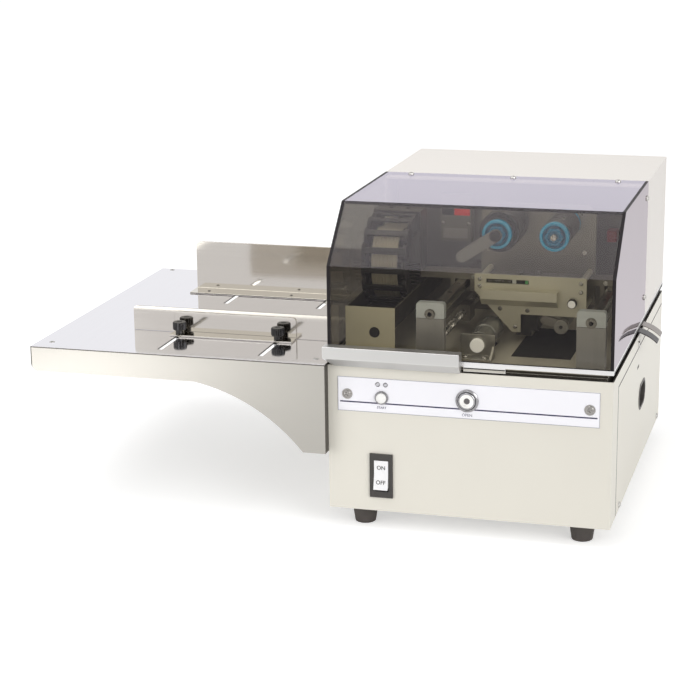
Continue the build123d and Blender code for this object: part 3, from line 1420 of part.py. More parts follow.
def hood_rim():
    """Edge strips along the bottom of the hood, with the latch strike."""
    inner = HALF_W - RIM_T
    front = slab(-HALF_W, HALF_W, FRONT, FRONT + RIM_T, HOOD_Z, PANE_Z)
    front += slab(STRIKE_X0, STRIKE_X0 + STRIKE_W, FRONT, FRONT + RIM_T, HOOD_Z - STRIKE_DROP, HOOD_Z)
    back = slab(-HALF_W, HALF_W, BACK - RIM_T, BACK, HOOD_Z, PANE_Z)
    left = slab(-HALF_W, -inner, FRONT + RIM_T, BACK - RIM_T, HOOD_Z, PANE_Z)
    right = slab(inner, HALF_W, FRONT + RIM_T, BACK - RIM_T, HOOD_Z, PANE_Z)
    return Compound(children=[front, back, left, right])


def hood_grip():
    """Solid lifting grip on the lower left of the front pane."""
    top = HOOD_Z + GRIP_TOP_RISE
    face = FRONT - GRIP_REACH
    face_low = top - GRIP_FACE_H
    low = face_low - GRIP_LIP_H
    section = [(FRONT, top), (face, top), (face, face_low), (face + GRIP_LIP_SLANT, low), (FRONT, low)]
    left = -HALF_W - GRIP_OVERHANG
    grip = plate_yz(section, left, GRIP_RIGHT_X)
    return grip - plate_xz([(left, face_low), (left + GRIP_END_CUT, low), (left, low)], face, FRONT)


# Hood hinges
def hinge_axis():
    return BACK + HINGE_SETBACK, BASE_TOP + HOOD_GAP / 2


def hinge_leaf(x, upper):
    """One leaf of a hinge, with its knuckles on the shared axis."""
    y, z = hinge_axis()
    half = INNER_KNUCKLE_L / 2
    outer = half + KNUCKLE_GAP + OUTER_KNUCKLE_L
    if upper:
        leaf = slab(x - half, x + half, BACK, BACK + LEAF_T, z, PANE_Z)
        leaf += slab(x - outer, x + outer, BACK, BACK + LEAF_T, PANE_Z, PANE_Z + LEAF_H)
        leaf += rod_x(KNUCKLE_R, x - half, x + half, y, z)
        return leaf - rod_x(HINGE_PIN_R + RUNNING_FIT, x - half - 1, x + half + 1, y, z)
    leaf = slab(x - outer, x + outer, BACK, BACK + LEAF_T, BASE_TOP - LEAF_H, BASE_TOP)
    for a in (x - outer, x + half + KNUCKLE_GAP):
        leaf += slab(a, a + OUTER_KNUCKLE_L, BACK, BACK + LEAF_T, BASE_TOP, z)
        leaf += rod_x(KNUCKLE_R, a, a + OUTER_KNUCKLE_L, y, z)
    return leaf + rod_x(HINGE_PIN_R, x - outer, x + outer, y, z)


def hinge_base_leaves():
    """Lower hinge leaves with their pins."""
    return Compound(children=[hinge_leaf(x, False) for x in (-HINGE_X, HINGE_X)])


def hinge_hood_leaves():
    """Upper hinge leaves."""
    return Compound(children=[hinge_leaf(x, True) for x in (-HINGE_X, HINGE_X)])


PIECES = (base_shell, chassis_tray, side_covers, carry_recesses, rubber_feet, case_screws,
          front_overlay, button_rings, start_button, open_button, status_leds, switch_bezel,
          power_rocker, mains_inlet, deck_frame, main_plate, front_posts, guide_rails, exit_guides,
          chain_trough, chain_lower, chain_bend, chain_clip, carriage_frame, head_front_plate,
          carriage_screws, print_head, pressure_knob, tension_arm, ribbon_roller, spindle_axles,
          supply_hub, takeup_hub, supply_core, takeup_core, ribbon_roll, reel_lever, feed_roller,
          feed_bearing, drive_roller, drive_screw, drive_motors, power_supply, control_board,
          sensor_units, feed_table, rear_fence, front_fence, thumb_knob_left, thumb_knob_right,
          hood_front_pane, hood_top_pane, hood_side_panes, hood_screws, rear_cover, hood_rim,
          hood_grip, hinge_base_leaves, hinge_hood_leaves)

os.makedirs("parts", exist_ok=True)
for piece in PIECES:
    export_step(piece(), f"parts/{piece.__name__}.step")
export_step(platen(0.0), "parts/platen_pad.step")
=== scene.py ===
# Desktop thermal transfer printer, dressed for its pictures. Metres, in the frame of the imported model.
import math

import bmesh
import bpy
from mathutils import Matrix, Vector


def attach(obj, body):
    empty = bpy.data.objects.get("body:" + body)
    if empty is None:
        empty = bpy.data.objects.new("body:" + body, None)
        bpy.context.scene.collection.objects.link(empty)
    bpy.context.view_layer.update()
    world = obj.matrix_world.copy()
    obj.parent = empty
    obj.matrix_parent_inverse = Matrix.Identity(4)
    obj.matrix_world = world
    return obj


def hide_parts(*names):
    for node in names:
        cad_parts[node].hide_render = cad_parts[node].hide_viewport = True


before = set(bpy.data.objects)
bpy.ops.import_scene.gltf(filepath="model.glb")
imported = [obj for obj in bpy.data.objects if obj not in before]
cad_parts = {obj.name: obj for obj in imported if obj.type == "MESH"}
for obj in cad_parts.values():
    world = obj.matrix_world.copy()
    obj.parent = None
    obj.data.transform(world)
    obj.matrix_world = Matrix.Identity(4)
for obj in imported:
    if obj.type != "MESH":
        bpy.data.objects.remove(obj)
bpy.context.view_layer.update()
MM = 0.001


# Studio
# A plain white sweep with soft light from all round, a large overhead light, one from the front right and a
# low one that whitens the floor where the table's skirt mirrors it. The floor keeps the printer's shadow.
# The camera has the photograph's angle and a long lens.
def set_inputs(node, inputs):
    """Gives each named input of a node a value, or joins it to another node's output."""
    for name, value in inputs.items():
        if isinstance(value, bpy.types.NodeSocket):
            node.id_data.links.new(value, node.inputs[name])
        else:
            node.inputs[name].default_value = value
    return node


def put(tree, kind, inputs=None, **settings):
    """A new node in a tree, with its settings and its inputs."""
    node = tree.nodes.new(kind)
    for name, value in settings.items():
        setattr(node, name, value)
    return set_inputs(node, inputs or {})


def calc(tree, operation, *values):
    """The result of one sum on numbers or on other nodes' outputs."""
    return put(tree, "ShaderNodeMath", dict(enumerate(values)), operation=operation).outputs[0]


def white_where_seen(tree, plain, seen):
    """A strength that is 'seen' for camera, mirror and glass rays, and 'plain' for light on the object."""
    path = put(tree, "ShaderNodeLightPath").outputs
    direct = calc(tree, "MAXIMUM", path["Is Camera Ray"], path["Is Glossy Ray"])
    through = calc(tree, "MAXIMUM", direct, path["Is Transmission Ray"])
    return put(tree, "ShaderNodeMapRange", {"To Min": plain, "To Max": seen, "Value": through}).outputs[0]


def placed(name, data):
    """A new named object in the scene."""
    thing = bpy.data.objects.new(name, data)
    bpy.context.collection.objects.link(thing)
    return thing


WHITE = (1.0, 1.0, 1.0, 1.0)
bpy.context.scene.view_settings.view_transform = "Standard"
world = bpy.data.worlds.new("studio")
bpy.context.scene.world = world
world.use_nodes = True
sky = world.node_tree
set_inputs(sky.nodes["Background"], {"Color": WHITE, "Strength": white_where_seen(sky, 0.5, 1.0)})

FLOOR_REACH = 9
FLOOR_GREY = (0.86, 0.86, 0.86, 1)
floor_mesh = bpy.data.meshes.new("studio_floor")
corners = [(x * FLOOR_REACH, y * FLOOR_REACH, 0) for x, y in ((-1, -1), (1, -1), (1, 1), (-1, 1))]
floor_mesh.from_pydata(corners, [], [(0, 1, 2, 3)])
paper = bpy.data.materials.new("studio_paper")
paper.use_nodes = True
sheet = paper.node_tree
matt = set_inputs(sheet.nodes["Principled BSDF"],
                  {"Base Color": FLOOR_GREY, "Roughness": 0.9, "Specular IOR Level": 0.0})
lift = put(sheet, "ShaderNodeEmission", {"Color": WHITE, "Strength": white_where_seen(sheet, 0.0, 0.46)})
blend = put(sheet, "ShaderNodeAddShader", {0: matt.outputs[0], 1: lift.outputs[0]})
set_inputs(sheet.nodes["Material Output"], {"Surface": blend.outputs[0]})
floor_mesh.materials.append(paper)
floor = placed("studio_floor", floor_mesh)

LAMPS_LOOK_AT = Vector((-0.1, 0.0, 0.2))


def lamp(name, kind, direction, distance, strength, size):
    """A lamp that looks at the middle of the printer. A sun's size is its angle."""
    data = bpy.data.lights.new(name, kind)
    data.energy = strength
    if kind == "SUN":
        data.angle = size
    else:
        data.shape = "SQUARE"
        data.size = size
    thing = placed(name, data)
    aim = Vector(direction).normalized()
    thing.location = LAMPS_LOOK_AT + aim * distance
    thing.rotation_euler = aim.to_track_quat("Z", "Y").to_euler()


lamp("key_from_front_right", "SUN", (1.1, -0.82, 0.6), 3.0, 1.12, math.radians(35))
lamp("fill_from_front_left", "SUN", (-0.9, -0.8, 0.5), 3.0, 0.40, math.radians(50))
lamp("overhead", "AREA", (-0.27, -0.22, 1.0), 2.1, 15.0, 1.2)
low_data = bpy.data.lights.new("floor_light", "AREA")
low_data.energy = 2.8
low_data.size = 0.3
low = placed("floor_light", low_data)
low.location = (-0.82, -0.9, 0.27)
low.visible_glossy = False

CAMERA_AT = (0.4758, -2.4579, 0.8536)
LENS_MM, SENSOR_MM = 97.70, 36.0
YAW, PITCH, ROLL = math.radians(15.841), math.radians(15.066), math.radians(-0.652)
ahead = Vector((-math.sin(YAW) * math.cos(PITCH), math.cos(YAW) * math.cos(PITCH), -math.sin(PITCH)))
right = Vector((math.cos(YAW), math.sin(YAW), 0.0))
up = right.cross(ahead)
side = right * math.cos(ROLL) + up * math.sin(ROLL)
crown = up * math.cos(ROLL) - right * math.sin(ROLL)
camera_data = bpy.data.cameras.new("camera")
camera_data.lens = LENS_MM
camera_data.sensor_width = SENSOR_MM
camera = placed("camera", camera_data)
turn = Matrix((side, crown, -ahead)).transposed().to_4x4()
camera.matrix_world = Matrix.Translation(CAMERA_AT) @ turn
bpy.context.scene.camera = camera


# Case
# Front panel, tray, side covers and the hood's rear cover are 2 mm steel sheet, laser cut, folded and
# powder coated in warm white. The folds have small radii, and the coat is paler at rubbed edges.
WELD_WITHIN, FLAT_WITHIN = 3e-6, math.radians(0.6)


def from_frame(node):
    """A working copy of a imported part, with its loose triangles joined again."""
    bm = bmesh.new()
    bm.from_mesh(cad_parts[node].data)
    bmesh.ops.remove_doubles(bm, verts=bm.verts[:], dist=WELD_WITHIN)
    bmesh.ops.dissolve_limit(bm, angle_limit=FLAT_WITHIN, verts=bm.verts[:], edges=bm.edges[:])
    for face in bm.faces:
        face.material_index = 0
    return bm


def ease_edges(bm, radius, segments=2, angle=32.0):
    """Rounds the sharp edges, and marks the rounded strips with the attribute 'edge'."""
    sharp = [e for e in bm.edges if len(e.link_faces) == 2 and e.calc_face_angle(0) > math.radians(angle)]
    made = bmesh.ops.bevel(bm, geom=sharp, offset=radius * MM, offset_type="OFFSET", segments=segments,
                           profile=0.5, affect="EDGES", clamp_overlap=True)
    layer = bm.loops.layers.float.get("edge") or bm.loops.layers.float.new("edge")
    for face in made["faces"]:
        for loop in face.loops:
            loop[layer] = 1.0
    return bm


SMOOTH_BELOW = math.radians(34.0)


def finished(name, bm, body, materials, stands_for=()):
    """Puts a made shape into the scene on its body. Its big faces shade flat up to the round edges."""
    mesh = bpy.data.meshes.new(name)
    bm.to_mesh(mesh)
    bm.free()
    for material in materials if isinstance(materials, (list, tuple)) else [materials]:
        mesh.materials.append(material)
    mesh.shade_smooth()
    mesh.set_sharp_from_angle(angle=SMOOTH_BELOW)
    thing = placed(name, mesh)
    level = thing.modifiers.new("flat_faces_shade_flat", "WEIGHTED_NORMAL")
    level.keep_sharp = True
    bpy.context.view_layer.update()
    thing.data = bpy.data.meshes.new_from_object(thing.evaluated_get(bpy.context.evaluated_depsgraph_get()))
    thing.modifiers.remove(level)
    bpy.data.meshes.remove(mesh)
    thing.data.name = name
    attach(thing, body)
    if stands_for:
        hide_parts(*stands_for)


SHARP_ABOVE = math.radians(50)


def mark_cut_edges(bm, thickness, material):
    """Gives the narrow faces where a sheet was cut their own material."""
    for face in bm.faces:
        by_length = sorted(face.edges, key=lambda e: e.calc_length(), reverse=True)
        width = face.calc_area() / by_length[0].calc_length()
        sharp = all(e.calc_face_angle(0) > SHARP_ABOVE for e in by_length[:2])
        if sharp and width < thickness * MM:
            face.material_index = material


def eased_part(node, body, materials, radius=0.4, segments=2, angle=32.0):
    """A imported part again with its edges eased, in place of the plain one."""
    bm = ease_edges(from_frame(node), radius, segments, angle)
    finished(node + "_eased", bm, body, materials, (node,))


def srgb(colour):
    """A colour as it is read from a picture, 0 to 255, for a shader."""
    return tuple(c / 255 / 12.92 if c <= 10 else ((c / 255 + 0.055) / 1.055) ** 2.4 for c in colour)


METRE = 1000.0
PATCH_SPAN = (0.3, 0.7)
BUMP_SHARE = 0.12
RUBBED_TIMES, RUBBED_PLUS = 1.25, 0.04


def surface(name, colour, rough, metal=0.0, mottle=(0.05, 5), peel=(0.05, 0.5), wear=0.0, specular=0.5,
            coat=0.0, rough_swing=0.05, stretch=(1.0, 1.0, 1.0)):
    """A finish with uneven colour and gloss (mottle), a fine skin (peel) and paler rubbed edges (wear).

    The colour is 0 to 255. Mottle and peel are pairs of a strength and a size in mm.
    """
    base = srgb(colour)
    material = bpy.data.materials.new(name)
    material.use_nodes = True
    tree = material.node_tree
    where = put(tree, "ShaderNodeTexCoord").outputs["Object"]
    scale = put(tree, "ShaderNodeMapping", {"Scale": stretch, "Vector": where}).outputs[0]
    patches = put(tree, "ShaderNodeTexNoise", {"Scale": METRE / mottle[1], "Detail": 4.0, "Vector": scale})
    shades = put(tree, "ShaderNodeValToRGB", {"Fac": patches.outputs["Fac"]})
    for stop, place, share in zip(shades.color_ramp.elements, PATCH_SPAN, (1 - mottle[0], 1 + mottle[0])):
        stop.position = place
        stop.color = tuple(min(1.0, c * share) for c in base) + (1,)
    skin = put(tree, "ShaderNodeTexNoise", {"Scale": METRE / peel[1], "Detail": 3.0, "Vector": scale})
    rubbed = put(tree, "ShaderNodeAttribute", attribute_name="edge").outputs["Fac"]
    pale = tuple(min(1.0, c * RUBBED_TIMES + RUBBED_PLUS) for c in base) + (1,)
    paler = put(tree, "ShaderNodeMix", {"Factor": calc(tree, "MULTIPLY", rubbed, wear),
                                        "A": shades.outputs["Color"], "B": pale}, data_type="RGBA")
    gloss = put(tree, "ShaderNodeMapRange", {
        "Value": patches.outputs["Fac"], "From Min": PATCH_SPAN[0], "From Max": PATCH_SPAN[1],
        "To Min": max(0.02, rough - rough_swing), "To Max": min(1.0, rough + rough_swing)})
    bump = put(tree, "ShaderNodeBump", {"Height": skin.outputs["Fac"], "Strength": min(1.0, peel[0]),
                                        "Distance": peel[1] * BUMP_SHARE * MM})
    set_inputs(tree.nodes["Principled BSDF"], {
        "Base Color": paler.outputs["Result"], "Roughness": gloss.outputs[0], "Normal": bump.outputs[0],
        "Metallic": metal, "Specular IOR Level": specular, "Coat Weight": coat})
    return material


def block(bm, x0, x1, y0, y1, z0, z1, material=0):
    """A plain box between two corners in mm, as part of a larger piece."""
    verts = bmesh.ops.create_cube(bm, size=1.0)["verts"]
    bmesh.ops.scale(bm, verts=verts, vec=Vector((x1 - x0, y1 - y0, z1 - z0)) * MM)
    bmesh.ops.translate(bm, verts=verts, vec=Vector(((x0 + x1) / 2, (y0 + y1) / 2, (z0 + z1) / 2)) * MM)
    for face in {f for v in verts for f in v.link_faces}:
        face.material_index = material


def cut_across(bm, axis, *places):
    """Divides the faces at places in mm along an axis, 0 to 2, so that each side can have its own finish."""
    way = Vector((0, 0, 0))
    way[axis] = 1
    for place in places:
        bmesh.ops.bisect_plane(bm, geom=bm.verts[:] + bm.edges[:] + bm.faces[:], plane_co=way * (place * MM),
                               plane_no=way)
    bm.normal_update()


def colour_faces(bm, choose):
    """Gives each face the material that 'choose' finds from its middle in mm and the face itself."""
    for face in bm.faces:
        face.material_index = int(choose(face.calc_center_median() / MM, face))


case_coat = surface("warm_white_powder_coat", (229, 225, 214), 0.42, mottle=(0.012, 120), peel=(0.1, 1.6),
                    wear=0.35)
tray_coat = surface("tray_powder_coat", (222, 218, 208), 0.46, mottle=(0.015, 90), peel=(0.1, 1.6),
                    wear=0.3)
# The top strips of the base shell behind its front, under the hood's gap, are painted dark: painted shade
# where the hood shadows them.
painted_hood_gap_shade = surface("hood_gap_painted_shade", (46, 41, 34), 0.6, mottle=(0.05, 20), peel=(0.05, 1.2))
STRIPS_FROM_Y, STRIPS_FROM_Z = -247.2, 214.2
shell = ease_edges(from_frame("base_shell"), 0.7, 3)
cut_across(shell, 1, STRIPS_FROM_Y)
colour_faces(shell, lambda middle, face: middle.z > STRIPS_FROM_Z and middle.y > STRIPS_FROM_Y)
finished("base_shell_eased", shell, "chassis", [case_coat, painted_hood_gap_shade], ("base_shell",))
eased_part("chassis_tray", "chassis", tray_coat)
eased_part("side_covers", "chassis", case_coat, 0.6, 3)
# Dark strips along the side covers' front and top seams are painted shade in the seam gaps. The short block
# on the right cover is a small dark mark.
painted_seam_shade_and_mark = surface("painted_seam_shade_and_mark", (66, 61, 55), 0.6, mottle=(0.05, 20), peel=(0.05, 1.2))
WALL_X = 180
SEAM_FRONT, SEAM_BACK, SEAM_TOP = -204.5, 245.9, 197.6
seams = bmesh.new()
for wall in (-1, 1):
    x0, x1 = sorted((wall * (WALL_X - 1), wall * (WALL_X + 0.03)))
    block(seams, x0, x1, SEAM_FRONT, SEAM_FRONT + 3.2, 27, SEAM_TOP - 0.1)
    block(seams, x0, x1, SEAM_FRONT, SEAM_BACK, SEAM_TOP - 2.1, SEAM_TOP)
block(seams, WALL_X - 1, WALL_X + 0.05, -20, -3, 168.5, 172.5)
finished("side_cover_seams", seams, "chassis", painted_seam_shade_and_mark)


# Feet
# Four tapered rubber feet, moulded with a rolled lower lip and a recess for the screw that holds them to
# the tray. The rubber is dull and slightly dusty.
TO_FRONT, UPWARD = (0, -1, 0), (0, 0, 1)


def turned(bm, profile, centre, sides=48, axis=TO_FRONT, closed=False, flutes=0, depth=0.0, fluted=(0, 0),
           material=0):
    """Turns (radius, distance) points in mm round an axis. Flutes ripple the rings that 'fluted' spans."""
    axis = Vector(axis).normalized()
    basis = axis.to_track_quat("Z", "Y").to_matrix()
    origin = Vector(centre) * MM
    rings = []
    for index, (radius, along) in enumerate(profile):
        if radius == 0:
            rings.append([bm.verts.new(origin + axis * along * MM)])
            continue
        ring = []
        for i in range(sides):
            angle = 2 * math.pi * i / sides
            r = radius
            if flutes and fluted[0] <= index <= fluted[1]:
                r -= depth * (0.5 - 0.5 * math.cos(flutes * angle))
            out = Vector((r * math.cos(angle), r * math.sin(angle), along))
            ring.append(bm.verts.new(origin + basis @ out * MM))
        rings.append(ring)
    for low, high in list(zip(rings, rings[1:])) + ([(rings[-1], rings[0])] if closed else []):
        for i in range(sides):
            j = (i + 1) % sides
            corners = [low[i % len(low)], low[j % len(low)], high[j % len(high)], high[i % len(high)]]
            unique = list(dict.fromkeys(corners))
            if len(unique) > 2:
                bm.faces.new(unique).material_index = material
    bmesh.ops.recalc_face_normals(bm, faces=bm.faces[:])


rubber = surface("foot_rubber", (84, 79, 76), 0.72, mottle=(0.12, 14), peel=(0.2, 0.8), wear=0.2,
                 specular=0.3)
feet = bmesh.new()
FOOT_X, FOOT_Y = 141, 218
for foot_x in (-FOOT_X, FOOT_X):
    for foot_y in (-FOOT_Y, FOOT_Y):
        turned(feet, [(0, 6), (4.5, 6), (4.5, 0.9), (5.4, 0), (12.2, 0), (13.1, 0.5), (13.5, 1.4),
                     (17, 24.2), (17.3, 25.2), (17.3, 26), (0, 26)], (foot_x, foot_y, 0), 40, UPWARD)
finished("rubber_feet_moulded", feet, "chassis", rubber, ("rubber_feet",))


# Carrying recesses
# Two black moulded cups clip into the side covers, so that the printer can be lifted. Each has a thin
# flange that lies on the coat.
black_moulding = surface("black_moulding", (38, 37, 37), 0.42, mottle=(0.08, 25), peel=(0.25, 0.9),
                         wear=0.35)
recess_grey = surface("recess_moulding", (78, 74, 71), 0.45, mottle=(0.08, 25), peel=(0.25, 0.9), wear=0.6)
eased_part("carry_recesses", "chassis", recess_grey, 0.5, 3)


# Mains inlet
# A standard black inlet on the back panel: its flange, the rounded socket and three flat blades inside.
inlet = ease_edges(from_frame("mains_inlet"), 0.6, 3)
for blade_x, blade_z in ((-127, 72), (-113, 72), (-120, 67)):
    block(inlet, blade_x - 1, blade_x + 1, 229, 247, blade_z - 2.5, blade_z + 2.5, 1)
bright_steel = surface("bright_steel", (196, 196, 198), 0.28, metal=1, mottle=(0.05, 8), wear=0.3)
finished("mains_inlet_with_blades", inlet, "chassis", [black_moulding, bright_steel],
         ("mains_inlet",))


# Label plate
# A white plastic film plate across the front panel, held by two screws. A thin printed border and one dark
# blue line run along it. The places of the maker's and the model's name are left bare.
label_film = surface("label_film", (250, 249, 254), 0.33, mottle=(0.008, 60), peel=(0.06, 0.7), wear=0.1)
label_ink = surface("label_ink", (46, 42, 78), 0.4)
border_ink = surface("border_ink", (150, 150, 160), 0.4)
label = ease_edges(from_frame("front_overlay"), 0.25)
finished("front_overlay_film", label, "chassis", label_film, ("front_overlay",))
PANEL_Y = -251
START_AT = (-110, PANEL_Y, 176.5)
OPEN_AT = (-0.5, PANEL_Y, 180.2)
LEFT, RIGHT, LOW, HIGH, LINE = -167, 164.5, 156.8, 201.4, 0.6
printing = bmesh.new()
block(printing, -164, 161.6, PANEL_Y - 0.05, PANEL_Y + 0.1, 168.1, 169.9)
for x0, x1, z0, z1 in ((LEFT, RIGHT, LOW, LOW + LINE), (LEFT, RIGHT, HIGH - LINE, HIGH),
                       (LEFT, LEFT + LINE, LOW + LINE, HIGH - LINE),
                       (RIGHT - LINE, RIGHT, LOW + LINE, HIGH - LINE)):
    block(printing, x0, x1, PANEL_Y - 0.04, PANEL_Y + 0.1, z0, z1, 1)
finished("front_overlay_lines", printing, "chassis", [label_ink, border_ink])
CAPITAL_SHARE = 0.7
INK_MM = 0.03


def printed_words(name, words, height, place, body, ink, bold=0.0):
    """Generic words printed on a face that looks to the front, their middle at a place in mm."""
    text = bpy.data.curves.new(name, "FONT")
    text.body = words
    text.align_x = "CENTER"
    text.align_y = "CENTER"
    text.size = height / CAPITAL_SHARE * MM
    text.extrude = INK_MM * MM
    text.offset = bold * MM
    draft = placed(name + "_draft", text)
    bpy.context.view_layer.update()
    mesh = bpy.data.meshes.new_from_object(draft.evaluated_get(bpy.context.evaluated_depsgraph_get()))
    bpy.data.objects.remove(draft)
    mesh.transform(Matrix.Translation(Vector(place) * MM) @ Matrix.Rotation(math.pi / 2, 4, "X"))
    mesh.materials.clear()
    mesh.materials.append(ink)
    thing = placed(name, mesh)
    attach(thing, body)
    return thing


words_y = PANEL_Y - 0.02
printed_words("word_open", "OPEN", 3.6, (OPEN_AT[0], words_y, 161.4), "chassis", label_ink)
printed_words("word_start", "START", 2.9, (START_AT[0], words_y, 163.4), "chassis",
              label_ink, 0.06)


# Buttons and lamps
# Two turned metal bezels. The start button is a white domed cap. The hood release is a bright dished cap
# with a dark centre. Two small clear lamps sit in metal clips above the start button.
satin_metal = surface("satin_metal", (150, 149, 151), 0.26, metal=1, mottle=(0.06, 6), peel=(0.04, 0.4),
                      wear=0.3)
white_cap = surface("white_cap", (250, 249, 246), 0.3, mottle=(0.02, 10), peel=(0.06, 0.6))
polished_cap = surface("polished_cap", (240, 238, 234), 0.3, metal=0.6, mottle=(0.03, 6), peel=(0.03, 0.4))
dark_cap = surface("dark_cap", (96, 92, 92), 0.35, mottle=(0.06, 4), peel=(0.08, 0.4))
rings = bmesh.new()
turned(rings, [(6.9, 0), (6.9, 2), (7.4, 2.4), (8, 2.4), (8.8, 1.3), (8.8, 0), (8.1, 0),
              (8.1, -16), (0, -16), (0, -15), (6.9, -15)], START_AT, 48, closed=True)
turned(rings, [(11.3, 0), (11.3, 1.5), (11.9, 2.4), (12.8, 2.4), (13.5, 1.6), (14.6, 0.9), (14.6, 0),
              (12.5, 0), (12.5, -16), (0, -16), (0, -15.6), (11.3, -15.6)], OPEN_AT, 56,
       closed=True)
finished("button_bezels_turned", rings, "chassis", satin_metal, ("button_rings",))
start = bmesh.new()
turned(start, [(0, 5.4), (2.5, 5.3), (4.6, 5), (6, 4.4), (6.6, 3.5), (6.6, -11.8), (0, -11.8)],
       START_AT, 48)
finished("start_button_cap", start, "start_button", white_cap, ("start_button",))
release = bmesh.new()
turned(release, [(0, 2.3), (4, 2.4), (7.8, 3.4), (8.8, 3.9), (10.2, 3.9), (11, 3.2), (11, -11.8),
                (0, -11.8)], OPEN_AT, 56)
DISH_RADIUS = 9
colour_faces(release, lambda middle, face:
             2 * (math.hypot(middle.x - OPEN_AT[0], middle.z - OPEN_AT[2]) > DISH_RADIUS))
turned(release, [(0, 3.1), (3, 3), (3.8, 2.6), (3.9, 2.2), (0, 2.2)], OPEN_AT, 40, material=1)
finished("open_button_cap", release, "open_button",
         [polished_cap, dark_cap, satin_metal], ("open_button",))
lens = surface("lamp_lens", (205, 205, 210), 0.15, mottle=(0.05, 3), peel=(0.1, 0.8), coat=0.6)
lamps = bmesh.new()
for lamp_x in (START_AT[0] - 5, START_AT[0] + 5):
    lamp_at = (lamp_x, PANEL_Y, 193.5)
    turned(lamps, [(0, 1.15), (1, 1.05), (1.8, 0.65), (2.1, 0.2), (2.1, -6.8), (0, -6.8)], lamp_at, 28,
           material=1)
    turned(lamps, [(2.15, 0), (2.15, 0.55), (2.5, 0.8), (2.9, 0.5), (3, 0), (3, -6.8), (2.15, -6.8)],
           lamp_at, 28, closed=True)
finished("status_lamps", lamps, "chassis", [satin_metal, lens], ("status_leds",))


# Power switch
# A black snap-in frame with a raised rim round its opening. The white rocker turns on a pin and has the
# printed words ON and OFF.
switch_black = surface("switch_black", (54, 51, 48), 0.38, mottle=(0.08, 9), peel=(0.15, 0.7), wear=0.45)
switch_frame = ease_edges(from_frame("switch_bezel"), 0.7, 3)
finished("switch_frame", switch_frame, "chassis", switch_black, ("switch_bezel",))
rocker_white = surface("rocker_white", (246, 245, 246), 0.28, mottle=(0.015, 12), peel=(0.06, 0.6))
eased_part("power_rocker", "power_rocker", rocker_white, 0.6, 3)
ROCKER_PIN = (-111, -244, 73.5)
ROCKER_LEAN = math.radians(7)
ROCKER_REACH, WORD_FROM_PIN = 8.5, 9.5


def rocker_words(name, words, above):
    """Words pressed flush into one half of the tilted rocker."""
    thing = printed_words(name, words, 5.0, (0, 0, 0), "power_rocker", switch_black, 0.12)
    way = 1 if above else -1
    tilt = Matrix.Rotation(-ROCKER_LEAN, 4, "X")
    slope = Matrix.Rotation(way * ROCKER_LEAN, 4, "X")
    reach = ROCKER_REACH + WORD_FROM_PIN * math.tan(ROCKER_LEAN)
    spot = Matrix.Translation(Vector((0, -reach - 0.06, way * WORD_FROM_PIN)) * MM)
    pin = Matrix.Translation(Vector(ROCKER_PIN) * MM)
    thing.data.transform(pin @ tilt @ spot @ slope)


rocker_words("word_on", "ON", True)
rocker_words("word_off", "OFF", False)


# Control board and power supply
# The green board stands on four standoffs in the base. The supply is a folded box of thin zinced sheet.
board_green = surface("board_laminate", (38, 92, 62), 0.35, mottle=(0.12, 6), peel=(0.15, 0.8))
zinc_sheet = surface("zinc_sheet", (176, 178, 178), 0.38, metal=1, mottle=(0.14, 9), peel=(0.04, 0.7),
                     wear=0.2)
chip_black = surface("chip_black", (30, 30, 32), 0.5, mottle=(0.1, 5), peel=(0.1, 0.5))
board = from_frame("control_board")
CHIPS, CHIPS_IN_ROW = 11, 4
BOARD_TOP = 37.5
for index in range(CHIPS):
    chip_x = -140 + index % CHIPS_IN_ROW * 32
    chip_y = -176 + index // CHIPS_IN_ROW * 40
    block(board, chip_x, chip_x + 14 + index % 3 * 4, chip_y, chip_y + 12 + index % 2 * 8, BOARD_TOP,
          BOARD_TOP + 3 + index % 3 * 3, 1)
finished("control_board_fitted", board, "chassis", [board_green, chip_black],
         ("control_board",))
eased_part("power_supply", "chassis", zinc_sheet, 0.8, 3)


# Deck
# The brushed stainless deck under the printed piece is folded into two legs. Its front lip, its front faces
# and its sides are painted dark as shade. A black rubber pad is let into it under the print head, and a slot
# lets the drive roller through.
def brushed(name, colour, rough, along="x", lines=(0.06, 0.4), mottle=0.05, wear=0.25, metal=1.0, swing=0.05):
    """Metal with straight lines along one axis. Lines are a pair of a depth and a size in mm."""
    reach = {"x": (0.02, 1.0, 1.0), "y": (1.0, 0.02, 1.0), "z": (1.0, 1.0, 0.02)}[along]
    return surface(name, colour, rough, metal=metal, mottle=(mottle, 2.2), peel=lines, wear=wear,
                   rough_swing=swing, stretch=reach)


deck_steel = brushed("deck_steel", (224, 219, 206), 0.34, metal=0.35, lines=(0.03, 0.35), mottle=0.02)
# Painted shade: the deck's front lip, front faces and sides are dark where the hood shadows them.
deck_painted_shade = brushed("deck_painted_shade", (44, 38, 31), 0.6, metal=0.3, lines=(0.03, 0.35), mottle=0.03)
LIP_Y, LIP_BACK_Y, DECK_SIDE_X = -233, -200, 171.5
SQUARE_ON = 0.9
deck = from_frame("deck_frame")
cut_across(deck, 1, LIP_Y)
colour_faces(deck, lambda middle, face: middle.y < LIP_Y or abs(middle.x) > DECK_SIDE_X
             or (face.normal.y < -SQUARE_ON and middle.y < LIP_BACK_Y))
ease_edges(deck, 0.4)
finished("deck_frame_folded", deck, "chassis", [deck_steel, deck_painted_shade], ("deck_frame",))
pad_rubber = surface("pad_rubber", (26, 25, 24), 0.62, mottle=(0.12, 18), peel=(0.35, 0.9), wear=0.15,
                     specular=0.35)
eased_part("platen_pad", "chassis", pad_rubber, 0.5, 3)


# Upright plate
# The thick aluminium plate that carries the rails, the shafts and the motors. Its edges are milled and
# its faces finely brushed.
plate_aluminium = brushed("plate_aluminium", (126, 123, 121), 0.42, metal=0.6, lines=(0.01, 0.5),
                          mottle=0.01, swing=0.008)
eased_part("main_plate", "chassis", plate_aluminium, 0.6)


